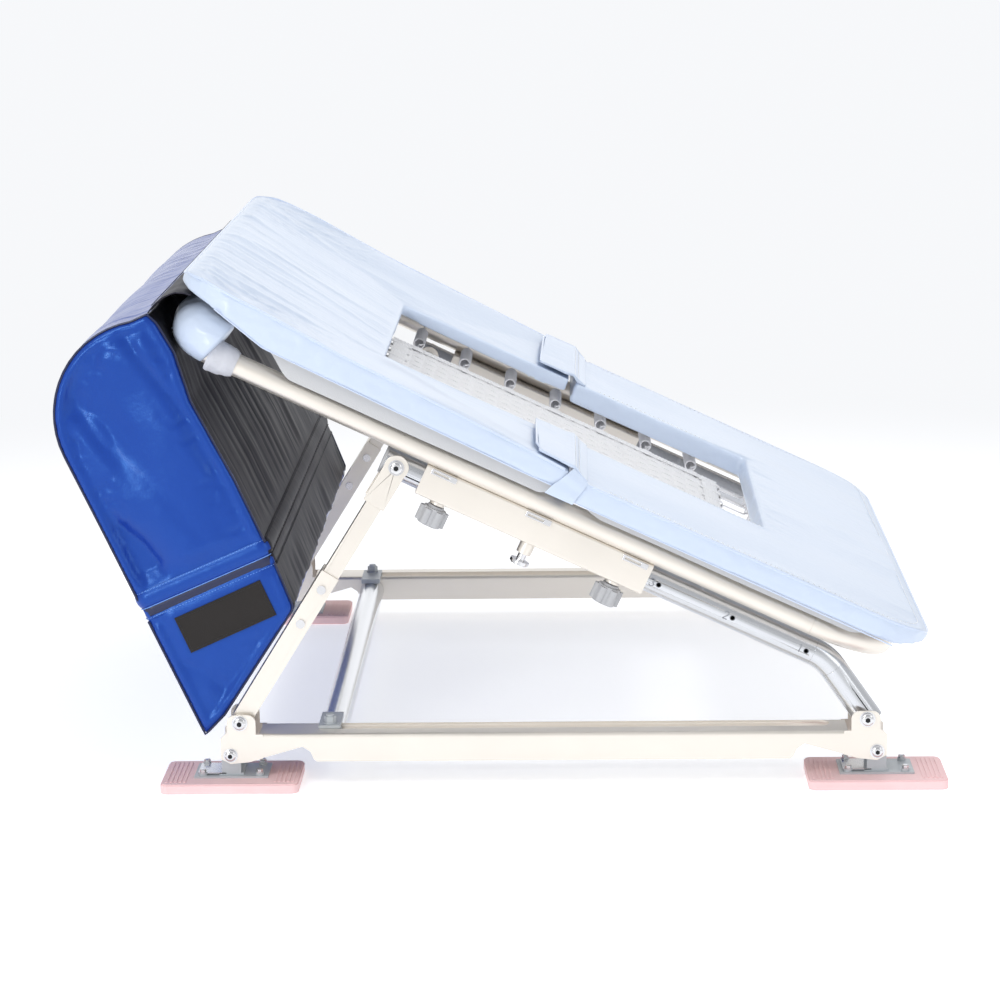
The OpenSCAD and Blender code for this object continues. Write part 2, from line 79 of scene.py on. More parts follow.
# ---- colours and materials ----
def srgb(code):
    """Linear colour of a six-digit colour code."""
    parts = [int(code[i:i + 2], 16) / 255 for i in (0, 2, 4)]
    return tuple(c / 12.92 if c <= 0.04045 else ((c + 0.055) / 1.055) ** 2.4 for c in parts) + (1.0,)


def material(name, color, roughness, metallic=0.0, coat=0.0, sheen=0.0, mottle=0.0, mottle_scale=9.0,
             bumps=(), gloss=0.5, gloss_tint=(1.0, 1.0, 1.0, 1.0)):
    """A procedural surface. Each bump is (texture, scale, height in mm, stretch)."""
    made = bpy.data.materials.new(name)
    made.use_nodes = True
    nodes, links = made.node_tree.nodes, made.node_tree.links
    shader = nodes["Principled BSDF"]
    shader.inputs["Base Color"].default_value = color
    shader.inputs["Roughness"].default_value = roughness
    shader.inputs["Metallic"].default_value = metallic
    shader.inputs["Coat Weight"].default_value = coat
    shader.inputs["Coat Roughness"].default_value = 0.16
    shader.inputs["Sheen Weight"].default_value = sheen
    shader.inputs["Specular IOR Level"].default_value = gloss
    shader.inputs["Specular Tint"].default_value = gloss_tint
    place = nodes.new("ShaderNodeTexCoord")
    if mottle:
        cloud = nodes.new("ShaderNodeTexNoise")
        cloud.inputs["Scale"].default_value = mottle_scale
        cloud.inputs["Detail"].default_value = 5.0
        links.new(place.outputs["Object"], cloud.inputs["Vector"])
        mix = nodes.new("ShaderNodeMix")
        mix.data_type = "RGBA"
        mix.inputs["A"].default_value = tuple(c * (1 - mottle) for c in color[:3]) + (1.0,)
        mix.inputs["B"].default_value = tuple(min(1.0, c * (1 + mottle)) for c in color[:3]) + (1.0,)
        links.new(cloud.outputs["Fac"], mix.inputs["Factor"])
        links.new(mix.outputs["Result"], shader.inputs["Base Color"])
        rough = nodes.new("ShaderNodeMapRange")
        rough.inputs["To Min"].default_value = max(0.02, roughness * 0.8)
        rough.inputs["To Max"].default_value = min(1.0, roughness * 1.25)
        links.new(cloud.outputs["Fac"], rough.inputs["Value"])
        links.new(rough.outputs["Result"], shader.inputs["Roughness"])
    normal = None
    for texture, scale, height, stretch in bumps:
        mapping = nodes.new("ShaderNodeMapping")
        mapping.inputs["Scale"].default_value = stretch
        links.new(place.outputs["Object"], mapping.inputs["Vector"])
        pattern = nodes.new(texture)
        pattern.inputs["Scale"].default_value = scale
        if texture == "ShaderNodeTexNoise":
            pattern.inputs["Detail"].default_value = 4.0
        links.new(mapping.outputs["Vector"], pattern.inputs["Vector"])
        bump = nodes.new("ShaderNodeBump")
        bump.inputs["Strength"].default_value = 1.0
        bump.inputs["Distance"].default_value = height / 1000
        links.new(pattern.outputs[0], bump.inputs["Height"])
        if normal:
            links.new(normal, bump.inputs["Normal"])
        normal = bump.outputs["Normal"]
    if normal:
        links.new(normal, shader.inputs["Normal"])
    return made


NOISE, WAVE = "ShaderNodeTexNoise", "ShaderNodeTexWave"
LOOKS = {
    "zinc_steel": material("zinc_steel", srgb("ebe5dc"), 0.36, metallic=0.75, mottle=0.05,
                           bumps=[(NOISE, 700.0, 0.03, (1, 1, 1))]),
    "bright_tube": material("bright_tube", srgb("d3d5d9"), 0.2, metallic=1.0, mottle=0.04,
                            bumps=[(NOISE, 900.0, 0.012, (0.1, 1, 1))]),
    "bolt_steel": material("bolt_steel", srgb("dcdcde"), 0.22, metallic=1.0),
    "dark_steel": material("dark_steel", srgb("b9bec2"), 0.4, metallic=0.3, mottle=0.12),
    "foot_rubber": material("foot_rubber", srgb("eecbcc"), 0.62, mottle=0.08, mottle_scale=30.0,
                            bumps=[(NOISE, 500.0, 0.12, (1, 1, 1))]),
    "black_plastic": material("black_plastic", srgb("b4b5b8"), 0.42, mottle=0.05,
                              bumps=[(NOISE, 900.0, 0.03, (1, 1, 1))]),
    "bed_webbing": material("bed_webbing", srgb("f6f6f8"), 0.75, sheen=0.3,
                            bumps=[(WAVE, 420.0, 0.18, (1, 1, 1)), (NOISE, 900.0, 0.12, (1, 1, 1))]),
    "spring_steel": material("spring_steel", srgb("f0f0f2"), 0.34, metallic=0.25),
    "pad_vinyl": material("pad_vinyl", srgb("c9d6ea"), 0.36, coat=0.3, mottle=0.04, mottle_scale=4.0,
                          bumps=[(NOISE, 900.0, 0.05, (1, 1, 1)), (NOISE, 55.0, 0.9, (1, 1, 1))]),
    "collar_vinyl": material("collar_vinyl", srgb("c6c8d0"), 0.5, mottle=0.1,
                             bumps=[(NOISE, 120.0, 1.0, (1, 1, 1))]),
    "black_webbing": material("black_webbing", srgb("26272b"), 0.6, sheen=0.2,
                              bumps=[(WAVE, 500.0, 0.2, (1, 1, 1))]),
    "wedge_vinyl": material("wedge_vinyl", srgb("193893"), 0.27, coat=0.08, mottle=0.1, mottle_scale=3.0,
                            gloss=1.0, gloss_tint=(0.16, 0.46, 1.0, 1.0),
                            bumps=[(NOISE, 1100.0, 0.035, (1, 1, 1)), (NOISE, 30.0, 1.6, (1, 1, 1))]),
    "wedge_dark": material("wedge_dark", srgb("2a2930"), 0.5, mottle=0.15, gloss=0.2,
                           gloss_tint=(0.7, 0.75, 1.0, 1.0),
                           bumps=[(NOISE, 60.0, 0.8, (1, 1, 0.25))]),
}
THREAD = material("thread", srgb("f1f2f4"), 0.7)
PIPING = material("pad_piping", srgb("cddaf0"), 0.32, coat=0.4)
NAVY = material("navy_binding", srgb("0f1b44"), 0.42, coat=0.15)
BLUE_THREAD = material("blue_thread", srgb("6d9ae6"), 0.6)
# Grey backing mesh; on the skirts it also paints the shade band between the pads and the frame's tubes.
MESH = material("underside_mesh_and_shade", srgb("c6c7c9"), 0.7, bumps=[(NOISE, 600.0, 0.4, (1, 1, 1))])
PATCH = material("patch_cloth", srgb("1c1715"), 0.7, bumps=[(WAVE, 900.0, 0.1, (1, 1, 1))])
# Near-black that paints the shade inside the bolt sockets.
BOLT_SOCKET_SHADE = material("painted_socket_shade", srgb("17181b"), 0.8)
INK = material("dark_thread", srgb("2b2c30"), 0.6)
# Mid grey for the printed position numbers; the same grey paints shade round the tube holes.
DIGIT_PAINT_AND_HOLE_SHADE = material("digit_paint_and_hole_shade", srgb("8f9298"), 0.6)


# ---- shapes ----
def unit(v):
    v = np.asarray(v, float)
    return v / np.maximum(np.linalg.norm(v, axis=-1, keepdims=True), 1e-9)


def resample(path, step, closed=False):
    """Even points along a path, about step apart. Columns after the third go with their points."""
    path = np.asarray(path, float)
    if closed:
        path = np.vstack([path, path[:1]])
    along = np.concatenate([[0], np.cumsum(np.linalg.norm(np.diff(path[:, :3], axis=0), axis=1))])
    count = max(2, int(round(along[-1] / step)) + 1)
    at = np.linspace(0, along[-1], count)
    even = np.column_stack([np.interp(at, along, column) for column in path.T])
    return even[:-1] if closed else even


def directions(path, closed):
    ahead, behind = np.roll(path, -1, 0), np.roll(path, 1, 0)
    if not closed:
        ahead[-1], behind[0] = path[-1], path[0]
    return unit(ahead - behind)


class Shape:
    """Points in millimetres and faces, gathered piece by piece. A face's mark is its material's number."""

    def __init__(self):
        self.points, self.faces, self.marks, self.count = [], [], [], 0

    def add(self, points, faces, mark=0):
        points = np.asarray(points, float)
        self.points.append(points)
        self.faces.extend([[self.count + i for i in face] for face in faces])
        self.marks.extend([mark] * len(faces))
        self.count += len(points)

    def loft(self, rings, closed=False, mark=0):
        """Joins equal rings of points, one after another."""
        rings = np.asarray(rings, float)
        k, m = rings.shape[:2]
        faces = [[a * m + i, a * m + (i + 1) % m, (a + 1) % k * m + (i + 1) % m, (a + 1) % k * m + i]
                 for a in range(k if closed else k - 1) for i in range(m)]
        if not closed:
            faces += [list(range(m))[::-1], [(k - 1) * m + i for i in range(m)]]
        self.add(rings.reshape(-1, 3), faces, mark)

    def tube(self, path, radius, sides=8, closed=False, mark=0):
        path = np.asarray(path, float)
        along = directions(path, closed)
        first = np.cross(along[0], [0, 0, 1] if abs(along[0][2]) < 0.9 else [1, 0, 0])
        side = np.empty_like(path)
        held = unit(first)
        for k, t in enumerate(along):
            held = unit(held - t * (held @ t))
            side[k] = held
        up = np.cross(along, side)
        turn = np.arange(sides) * 2 * math.pi / sides
        radius = np.broadcast_to(radius, len(path))[:, None, None]
        self.loft(path[:, None] + radius * (np.cos(turn)[None, :, None] * side[:, None]
                                            + np.sin(turn)[None, :, None] * up[:, None]), closed, mark)

    def strip(self, path, up, width, thick, closed=False, mark=0):
        """A flat band along a path. up is the way its face looks, one for all points or one for each."""
        path = np.asarray(path, float)
        up = unit(np.broadcast_to(np.asarray(up, float), path.shape))
        side = unit(np.cross(directions(path, closed), up))
        w, t = width / 2, thick / 2
        corners = [(-w, -t * 0.5), (-w * 0.94, -t), (w * 0.94, -t), (w, -t * 0.5),
                   (w, t * 0.5), (w * 0.94, t), (-w * 0.94, t), (-w, t * 0.5)]
        self.loft(np.stack([path + a * side + b * up for a, b in corners], axis=1), closed, mark)

    def stitches(self, path, up, pitch=8.0, length=5.2, radius=0.65, closed=False, mark=0):
        """A row of thread dashes that lie on a surface."""
        path = np.asarray(path, float)
        both = resample(np.hstack([path, np.broadcast_to(np.asarray(up, float), path.shape)]), pitch, closed)
        path, up = both[:, :3], unit(both[:, 3:])
        for point, t, u in zip(path, directions(path, closed), up):
            dash = [point + t * length * far + u * lift
                    for far, lift in ((-0.5, -0.4), (-0.25, 0.3), (0.25, 0.3), (0.5, -0.4))]
            self.tube(dash, radius, 5, False, mark)

    def lathe(self, profile, centre, axis, sides=32, mark=0):
        """Turns (radius, height) points about an axis. The profile's ends may lie on the axis."""
        axis = unit(axis)
        side = unit(np.cross(axis, [0, 1, 0.3] if abs(axis[1]) < 0.9 else [1, 0, 0]))
        up = np.cross(axis, side)
        turn = np.arange(sides) * 2 * math.pi / sides
        around = np.cos(turn)[:, None] * side + np.sin(turn)[:, None] * up
        centre = np.asarray(centre, float)
        self.loft([centre + max(r, 0.01) * around + h * axis for r, h in profile], False, mark)

    def block(self, centre, size, along=(1, 0, 0), up=(0, 0, 1), mark=0):
        along = unit(along)
        side = unit(np.cross(up, along))
        up = np.cross(along, side)
        x, y, z = np.asarray(size, float) / 2
        ring = [side * y + up * z, -side * y + up * z, -side * y - up * z, side * y - up * z]
        self.loft([[np.asarray(centre, float) + along * a + r for r in ring] for a in (-x, x)], False, mark)


def piece(name, shape, body, slot, place, materials=None, smooth=True, replaces=()):
    """Turns a Shape into an object that rides on a body."""
    mesh = bpy.data.meshes.new(name)
    mesh.from_pydata(place(np.vstack(shape.points)).tolist(), [], shape.faces)
    mesh.update()
    for m in materials or [LOOKS[slot]]:
        mesh.materials.append(m)
    mesh.polygons.foreach_set("material_index", shape.marks)
    mesh.polygons.foreach_set("use_smooth", [smooth] * len(shape.faces))
    if smooth:
        mesh.set_sharp_from_angle(angle=math.radians(50))
    made = bpy.data.objects.new(name, mesh)
    scene.collection.objects.link(made)
    if body:
        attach(made, body)
    if replaces:
        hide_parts(*replaces)
    return made


def lattice_noise(points, seed):
    """Smooth noise from -1 to 1, one cell per unit of the points' coordinates."""
    values = np.random.default_rng(seed).uniform(-1, 1, (64, 64, 64))
    cell = np.floor(points).astype(int)
    part = points - cell
    part = part * part * (3 - 2 * part)
    total = np.zeros(len(points))
    for corner in np.ndindex(2, 2, 2):
        weight = np.prod(np.abs(1 - np.array(corner) - part), axis=1)
        total += weight * values[tuple(((cell + corner) % 64).T)]
    return total


def noise(x, y, z, seed, octaves=3):
    points = np.column_stack([np.broadcast_to(x, len(z) if np.ndim(x) == 0 else len(x)), y, z]).astype(float)
    total, size = np.zeros(len(points)), 1.0
    for k in range(octaves):
        total += lattice_noise(points * 2 ** k + 17.3 * k, seed + k) * size
        size *= 0.5
    return total


def folds(x, y, z, seed, octaves, sharpness, level=0.4):
    """Noise turned into sharp-topped folds from 0 to 1, less a middle level."""
    return (1 - np.minimum(np.abs(noise(x, y, z, seed, octaves) * sharpness), 1)) ** 2 - level


def fade(distance, near, far):
    """0 at near and 1 at far, smoothly."""
    t = np.clip((distance - near) / (far - near), 0, 1)
    return t * t * (3 - 2 * t)


def soft_copy(name, node, voxel, rounds, place, place_from, relief, body, slot, materials=None, mark=None):
    """An even, rounded copy of a CAD soft solid. relief(points, normals) moves its local points."""
    mesh = frame["nodes"][node].data.copy()
    count = len(mesh.vertices)
    points = np.empty(count * 3, np.float32)
    mesh.vertices.foreach_get("co", points)
    mesh.vertices.foreach_set("co", place_from(points.reshape(-1, 3)).astype(np.float32).ravel())
    mesh.materials.clear()
    rough = bpy.data.objects.new(name + "_rough", mesh)
    scene.collection.objects.link(rough)
    even = rough.modifiers.new("even", "REMESH")
    even.mode = "VOXEL"
    even.voxel_size = voxel
    softer = rough.modifiers.new("softer", "SMOOTH")
    softer.iterations = rounds
    bpy.context.view_layer.update()
    made = bpy.data.meshes.new_from_object(rough.evaluated_get(bpy.context.evaluated_depsgraph_get()))
    bpy.data.objects.remove(rough)
    made.name = name
    count = len(made.vertices)
    points = np.empty(count * 3, np.float32)
    normals = np.empty(count * 3, np.float32)
    made.vertices.foreach_get("co", points)
    made.vertices.foreach_get("normal", normals)
    points, normals = points.reshape(-1, 3).astype(float), normals.reshape(-1, 3).astype(float)
    moved = relief(points, normals)
    made.vertices.foreach_set("co", place(moved).astype(np.float32).ravel())
    for m in materials or [LOOKS[slot]]:
        made.materials.append(m)
    faces = len(made.polygons)
    made.polygons.foreach_set("use_smooth", [True] * faces)
    if mark:
        centre = np.empty(faces * 3, np.float32)
        made.polygons.foreach_get("center", centre)
        centre = place_from(centre.reshape(-1, 3))
        normal = np.empty(faces * 3, np.float32)
        made.polygons.foreach_get("normal", normal)
        made.polygons.foreach_set("material_index", mark(centre, normal.reshape(-1, 3)).astype(np.int32))
    made.update()
    thing = bpy.data.objects.new(name, made)
    scene.collection.objects.link(thing)
    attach(thing, body)
    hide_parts(node)
    return thing


# ---- CAD nodes keep their shape and get their finish and softened edges ----
BEVELS = {"zinc_steel": 0.7, "dark_steel": 0.6, "foot_rubber": 1.6, "black_plastic": 1.2, "bolt_steel": 0.8,
          "bright_tube": 0.5}
for part in frame["record"]["subparts"]:
    node = frame["nodes"][part["node"]]
    slot = part["material_slot"]
    node.data.materials.clear()
    node.data.materials.append(LOOKS[slot])
    if slot in BEVELS:
        if "custom_normal" in node.data.attributes:
            node.data.attributes.remove(node.data.attributes["custom_normal"])
        node.data.polygons.foreach_set("use_smooth", [True] * len(node.data.polygons))
        weld = node.modifiers.new("weld", "WELD")
        weld.merge_threshold = 0.00002
        bevel = node.modifiers.new("bevel", "BEVEL")
        bevel.width = BEVELS[slot] / 1000
        bevel.segments = 2
        bevel.limit_method = "ANGLE"
        bevel.angle_limit = math.radians(35)
        bevel.harden_normals = True
        bevel.use_clamp_overlap = True

# ---- pads ----
PAD_Y, OPEN_Y, PAD_S, OPEN_S, CORNER = 622.0, 302.0, (-630.0, 648.0), (-292.0, 377.0), 100.0
UPPER_TOP = ([-630, -622, -590, -500, -360, -40, 30], [26, 36, 42, 38, 26, 12, 7])
UPPER_UNDER = ([-622, -560, -470, -40, 30], [16, 9, -15, -25, -25])


def plan_edge(points):
    """How far a deck point is inside the pads' outer edge, and how far from the opening."""
    s, y = points[:, 0], np.abs(points[:, 1])
    mid, half = (PAD_S[0] + PAD_S[1]) / 2, (PAD_S[1] - PAD_S[0]) / 2
    a, b = np.abs(s - mid) - (half - CORNER), y - (PAD_Y - CORNER)
    outer = CORNER - np.hypot(np.maximum(a, 0), np.maximum(b, 0)) - np.minimum(np.maximum(a, b), 0)
    c = np.maximum(OPEN_S[0] - s, s - OPEN_S[1])
    d = y - OPEN_Y
    inner = np.hypot(np.maximum(c, 0), np.maximum(d, 0)) + np.minimum(np.maximum(c, d), 0)
    return outer, inner


def side_wrinkles(points, seed, amount):
    """Short slanted wrinkles of a stretched side wall."""
    s, y, n = points.T
    return amount * folds((s + 0.7 * n) / 46, y / 60, (n - 0.3 * s) / 30, seed, 3, 1.6, 0.45)


def upper_relief(points, normals):
    s, y, n = points.T
    outer, inner = plan_edge(points)
    up = np.clip(normals[:, 2], 0, 1) ** 2
    side = np.clip(1 - np.abs(normals[:, 2]) * 1.6, 0, 1)
    high = fade(-s, 250, 600)
    fan = y + (s + 640) * 0.12 * np.sin(y / 210)
    pleats = folds(fan / 66, s / 420, 0 * s, 11, 2, 1.5)
    fine = folds(fan / 26, s / 260, 0 * s + 4, 15, 2, 1.6)
    near_open = 1 - fade(inner, 0, 130)
    top = high * (4.2 * pleats + 1.2 * fine) + near_open * (1.3 * pleats + 0.6 * fine)
    top += 2.2 * noise(s / 150, y / 120, 0 * s, 21, 2)
    corner = np.clip(1 - np.hypot(s + 560, np.abs(y) - 560) / 240, 0, 1)
    top += corner * 3.0 * folds((s + np.abs(y)) / 260, (s - np.abs(y)) / 24, 0 * s, 31, 2, 1.5)
    top *= fade(outer, 2, 26) * fade(inner, 0, 16)
    wall = side * side_wrinkles(points, 41, 2.2) * fade(-s, -640, 500)
    return points + normals * (top * up + wall)[:, None]


def lower_relief(points, normals):
    s, y, n = points.T
    outer, inner = plan_edge(points)
    up = np.clip(normals[:, 2], 0, 1) ** 2
    side = np.clip(1 - np.abs(normals[:, 2]) * 1.6, 0, 1)
    top = 2.6 * noise(s / 190, y / 150, 0 * s, 51, 2)
    low_open = (1 - fade(inner, 0, 90)) * fade(s, 320, 380)
    top += low_open * 1.6 * folds(y / 40, s / 160, 0 * s, 55, 2, 1.6)
    long_side = (1 - fade(outer, 0, 120)) * 1.1
    top += long_side * folds((y + 0.25 * s) / 60, s / 300, 0 * s, 59, 2, 1.5)
    top *= fade(outer, 2, 24) * fade(inner, 0, 16)
    wall = side * side_wrinkles(points, 61, 1.9)
    return points + normals * (top * up + wall)[:, None]


def underside(centre, normal):
    """Faces that look down from the deck get the backing mesh, away from the outer edge."""
    down = normal[:, 0] * SIN + normal[:, 2] * COS < -0.6
    return (down & (plan_edge(centre)[0] > 9)).astype(int)


VINYL = [LOOKS["pad_vinyl"], MESH]
for node, relief, fill in (("pad_upper", upper_relief, 0.85), ("pad_lower", lower_relief, 0.9)):
    pad = soft_copy(node + "_cover", node, 5.0, 4, deck, deck_from, relief, "carriage", "pad_vinyl", VINYL,
                    underside)


def edge_path(s0, s1, inset, steps=10):
    """The pads' outer edge in plan: up the left side from s0, round the end at s1, back on the right."""
    sign = 1 if s1 > s0 else -1
    centre, y0 = s1 - sign * CORNER, PAD_Y - CORNER
    turn = np.linspace(0, math.pi / 2, steps)
    r = CORNER - inset
    left = [(s0, -PAD_Y + inset)] + [(centre + sign * r * math.sin(a), -y0 - r * math.cos(a)) for a in turn]
    return np.array(left + [(s, -y) for s, y in left[::-1]])


def piping():
    """Welts along the sewn edges of both pads."""
    welt = Shape()
    for s0, s1, height in ((22, -630, lambda s: np.interp(s, *UPPER_TOP) - 1.5),
                           (70, 648, lambda s: -1.8 - 4 * fade(s, 610, 648))):
        plan = edge_path(s0, s1, 2.5)
        path = resample(np.column_stack([plan, height(plan[:, 0])]), 12)
        path[:, 2] = height(path[:, 0])
        welt.tube(path, 2.3, 8)
    for s0, s1, height in ((20, -560, lambda s: np.interp(s, *UPPER_UNDER) + 1),
                           (62, 590, lambda s: -34.5 + 0 * s)):
        for side in (-1, 1):
            s = np.linspace(s0, s1, 60)
            welt.tube(np.column_stack([s, 0 * s + side * (PAD_Y - 1.5), height(s)]), 1.1, 6)
    piece("pad_piping", welt, "carriage", "pad_vinyl", deck, [PIPING])


def skirts():
    """Mesh that hangs inside the pads' sides, between the pads and the frame's tubes; the grey sheet also
    stands in for the shade band under the pads' edges.
    """
    skirt = Shape()
    for side in (-1, 1):
        for s0, s1, under in ((-470, 38, lambda s: np.interp(s, *UPPER_UNDER)),
                              (50, 560, lambda s: -35.0 + 0 * s)):
            s = np.arange(s0, s1, 6.0)
            y = 602 + 1.5 * np.sin(s / 45)
            top = under(s) + 2.0
            low = top + (-45.0 - top) * np.minimum(fade(s, s0, s0 + 60), 1 - fade(s, s1 - 40, s1))
            skirt.loft(np.stack([np.column_stack([s, side * (y + a), n]) for a, n in
                                 ((0, top), (1.2, top), (1.2, low - 0.5), (0, low - 0.5))], axis=1))
    piece("pad_skirts_shade_band", skirt, "carriage", "pad_vinyl", deck, [MESH])


def pad_stitches():
    thread = Shape()
    plan = edge_path(100, 640, 14)
    thread.stitches(np.column_stack([plan, np.full(len(plan), 0.7)]), (0, 0, 1), 9.0, 5.0, 0.5)
    for y in (-OPEN_Y - 12, OPEN_Y + 12):
        thread.stitches([(90, y, 0.7), (368, y, 0.7)], (0, 0, 1), 9.0, 5.0, 0.5)
    piece("pad_stitches", thread, "carriage", "pad_vinyl", deck, [THREAD])


piping()
skirts()
pad_stitches()


def flap_sink(s, a):
    """How far a flap lies below its CAD top, at s and at a from the middle line."""
    return (1 - fade(np.asarray(a, float), 305, 600)) * np.interp(s, [-32, 20, 50, 62], [7.5, 6.0, 1.0, 0.0])


def flap_height(s, a):
    return np.interp(s, [-32, 34, 48, 62], [18, 17, 8, 3]) - flap_sink(s, a)


def flap_relief(points, normals):
    s, y, n = points.T
    a = np.abs(y)
    ripple = 0.8 * noise(s / 60, a / 45, 0 * s, 71, 2) * np.interp(s, [-32, 62], [1.0, 0.3])
    return points + (ripple - flap_sink(s, a))[:, None] * [0, 0, 1]


def flaps():
    for side, node in ((-1, "flap_left"), (1, "flap_right")):
        soft_copy(node + "_cover", node, 1.6, 2, deck, deck_from, flap_relief, "carriage", "pad_vinyl")
        hem, thread, drop = Shape(), Shape(), Shape()
        edge = [(-30.5, 307), (-30.5, 560), (-22, 606), (34, 615.5), (58, 617)]
        path = resample([(s, side * a, 0) for s, a in edge], 8)
        path[:, 2] = flap_height(path[:, 0], np.abs(path[:, 1])) - 1.2
        hem.tube(path, 1.9, 8)
        for s in (36.0, 44.0):
            line = resample([(s, side * 312, 0), (s, side * 612, 0)], 6)
            line[:, 2] = flap_height(line[:, 0], np.abs(line[:, 1])) + 0.2
            thread.stitches(line, (0.3, 0, 1), 7.0, 4.6, 0.5)
        rows = []
        for k, t in enumerate(np.linspace(0, 1, 12)):
            s0 = 34 - 26 * t
            s = np.array([s0, s0 + 1.5, 62 - 9 * t, 63.5 - 9 * t])
            n = np.interp(s, [33, 48, 63], [14, 6, 1]) * (1 - t) + (-36 + 2 * math.sin(k)) * t
            y = 618.5 + 5.5 * fade(t, 0, 0.25) + 1.2 * math.sin(k * 0.9) * t + np.array([1.2, 1.7, 1.0, 0.4])
            rows.append(np.vstack([np.column_stack([s, side * y, n]),
                                   np.column_stack([s[::-1], side * (y[::-1] - 1.8), n[::-1]])]))
        drop.loft(rows)
        piece(node + "_side", drop, "carriage", "pad_vinyl", deck)
        piece(node + "_hem", hem, "carriage", "pad_vinyl", deck, [PIPING])
        piece(node + "_stitches", thread, "carriage", "pad_vinyl", deck, [THREAD])


flaps()


# ---- padded roll, collars and straps ----
def roll_line():
    """The roll's centreline, across the high end and round both corners: s, y, n, radius and shear."""
    arc = np.radians(np.linspace(4, 80, 26))
    half = [(-574.5, y, -37.0, 43.0, 0.0) for y in np.linspace(0, 520, 58)]
    half += [(-574.5, y, n, r, 0.0) for y, n, r in ((526, -37.3, 42.8), (532, -38.2, 42.0))]
    half += [(-529.5 - 45 * math.cos(a), 537.5 + 45 * math.sin(a), -39.2 - 2.4 * a, 41.3 - 3.0 * a,
              0.34 * fade(a, 0.5, 1.3)) for a in arc]
    end = half[-1]
    half += [(end[0] + d, end[1] + 0.1 * d, end[2], end[3] * k, 0.34) for d, k in
             ((1.2, 0.985), (2.6, 0.94), (3.8, 0.86), (4.6, 0.72), (5.0, 0.55), (5.1, 0.02))]
    half = np.array(half)
    return np.vstack([half[:0:-1] * [1, -1, 1, 1, 1], half])


def roll():
    line = roll_line()
    turn = np.arange(72) * 2 * math.pi / 72
    along = directions(line[:, :3] * [1, 1, 0], False)
    side = np.cross(along, [0, 0, 1])
    far = np.cumsum(np.concatenate([[0], np.linalg.norm(np.diff(line[:, :3], axis=0), axis=1)]))
    dd, tt = np.meshgrid(far, turn, indexing="ij")
    cos, sin = np.cos(tt), np.sin(tt)
    flat = dd.ravel()
    bumps = 1.8 * noise(flat / 60, cos.ravel() * 1.6, sin.ravel() * 1.6, 81, 3)
    bumps += 1.4 * folds(flat / 16, cos.ravel() * 1.2, sin.ravel() * 1.2, 85, 2, 1.6)
    bent = fade(np.abs(line[:, 1]), 520, 560)[:, None]
    rr = line[:, 3:4] + (bumps.reshape(dd.shape) * (1 - 0.4 * bent) - 1.2) * fade(line[:, 3:4], 10, 36)
    lean = line[:, 4:5] * rr * sin
    rings = (line[:, None, :3] + (rr * cos)[..., None] * side[:, None] + (rr * sin)[..., None] * [0, 0, 1]
             + lean[..., None] * along[:, None] * np.sign(line[:, 1])[:, None, None])
    shape, welt, thread = Shape(), Shape(), Shape()
    shape.loft(rings)
    made = piece("end_roll_cover", shape, "carriage", "pad_vinyl", deck, replaces=["end_roll"])
    line = np.linspace(-528, 528, 110)
    welt.tube([(-574.5 - 36, v, -37 - 22.2) for v in line], 1.3, 6)
    thread.stitches([(-574.5 - 33, v, -37 - 27.5) for v in line], (-0.8, 0, -0.6), 9, 5, 0.5)
    piece("end_roll_welts", welt, "carriage", "pad_vinyl", deck, [PIPING])
    piece("end_roll_stitches", thread, "carriage", "pad_vinyl", deck, [THREAD])


roll()


def collars():
    shape = Shape()
    s = np.linspace(-541, -497, 26)
    turn = np.arange(40) * 2 * math.pi / 40
    for side in (-1, 1):
        ss, tt = np.meshgrid(s, turn, indexing="ij")
        bend = 1.1 * noise(ss.ravel() / 7, np.cos(tt.ravel()) * 1.5, np.sin(tt.ravel()) * 1.5 + side, 91, 2)
        rr = np.interp(ss, [-541, -536, -505, -497], [25.0, 27.0, 22.8, 19.6]) + bend.reshape(ss.shape)
        shape.loft(np.stack([ss, side * 582.5 + rr * np.cos(tt), -61 + rr * np.sin(tt)], axis=-1))
    piece("roll_collar_sleeves", shape, "carriage", "collar_vinyl", deck, replaces=["roll_collars"])


collars()


def straps():
    shape, thread = Shape(), Shape()
    loop = [(580.6, -36)] + [(599.5 - 18.7 * math.cos(a), -61 - 18.7 * math.sin(a))
                             for a in np.linspace(0, math.pi, 20)] + [(618.4, -33)]
    for y in (-422.0, 422.0):
        path = resample([(s, y, n) for s, n in loop], 4)
        shape.strip(path, path - [599.5, y, -58], 29, 1.6)
        for edge in (-11, 11):
            thread.stitches([(580.0, y + edge, -38), (580.0, y + edge, -50)], (-1, 0, 0), 5, 3, 0.4)
    piece("pad_strap_loops", shape, "carriage", "black_webbing", deck, replaces=["pad_straps"])
    piece("pad_strap_stitches", thread, "carriage", "black_webbing", deck, [THREAD])


straps()

# ---- bed: woven straps in a sewn edge ----
BED_S, BED_Y, BED_N, PITCH = (-285.0, 345.0), 290.0, -61.0, 24.0
# A spring's tab folds round its hook: distance past the bed's edge, and height
TAB = [(-34, 3.9), (-8, 4.2), (0, 4.4), (5.5, 3.2), (7.2, 0), (5.5, -3.2), (0, -4.4), (-8, -4.2), (-34, -3.9)]


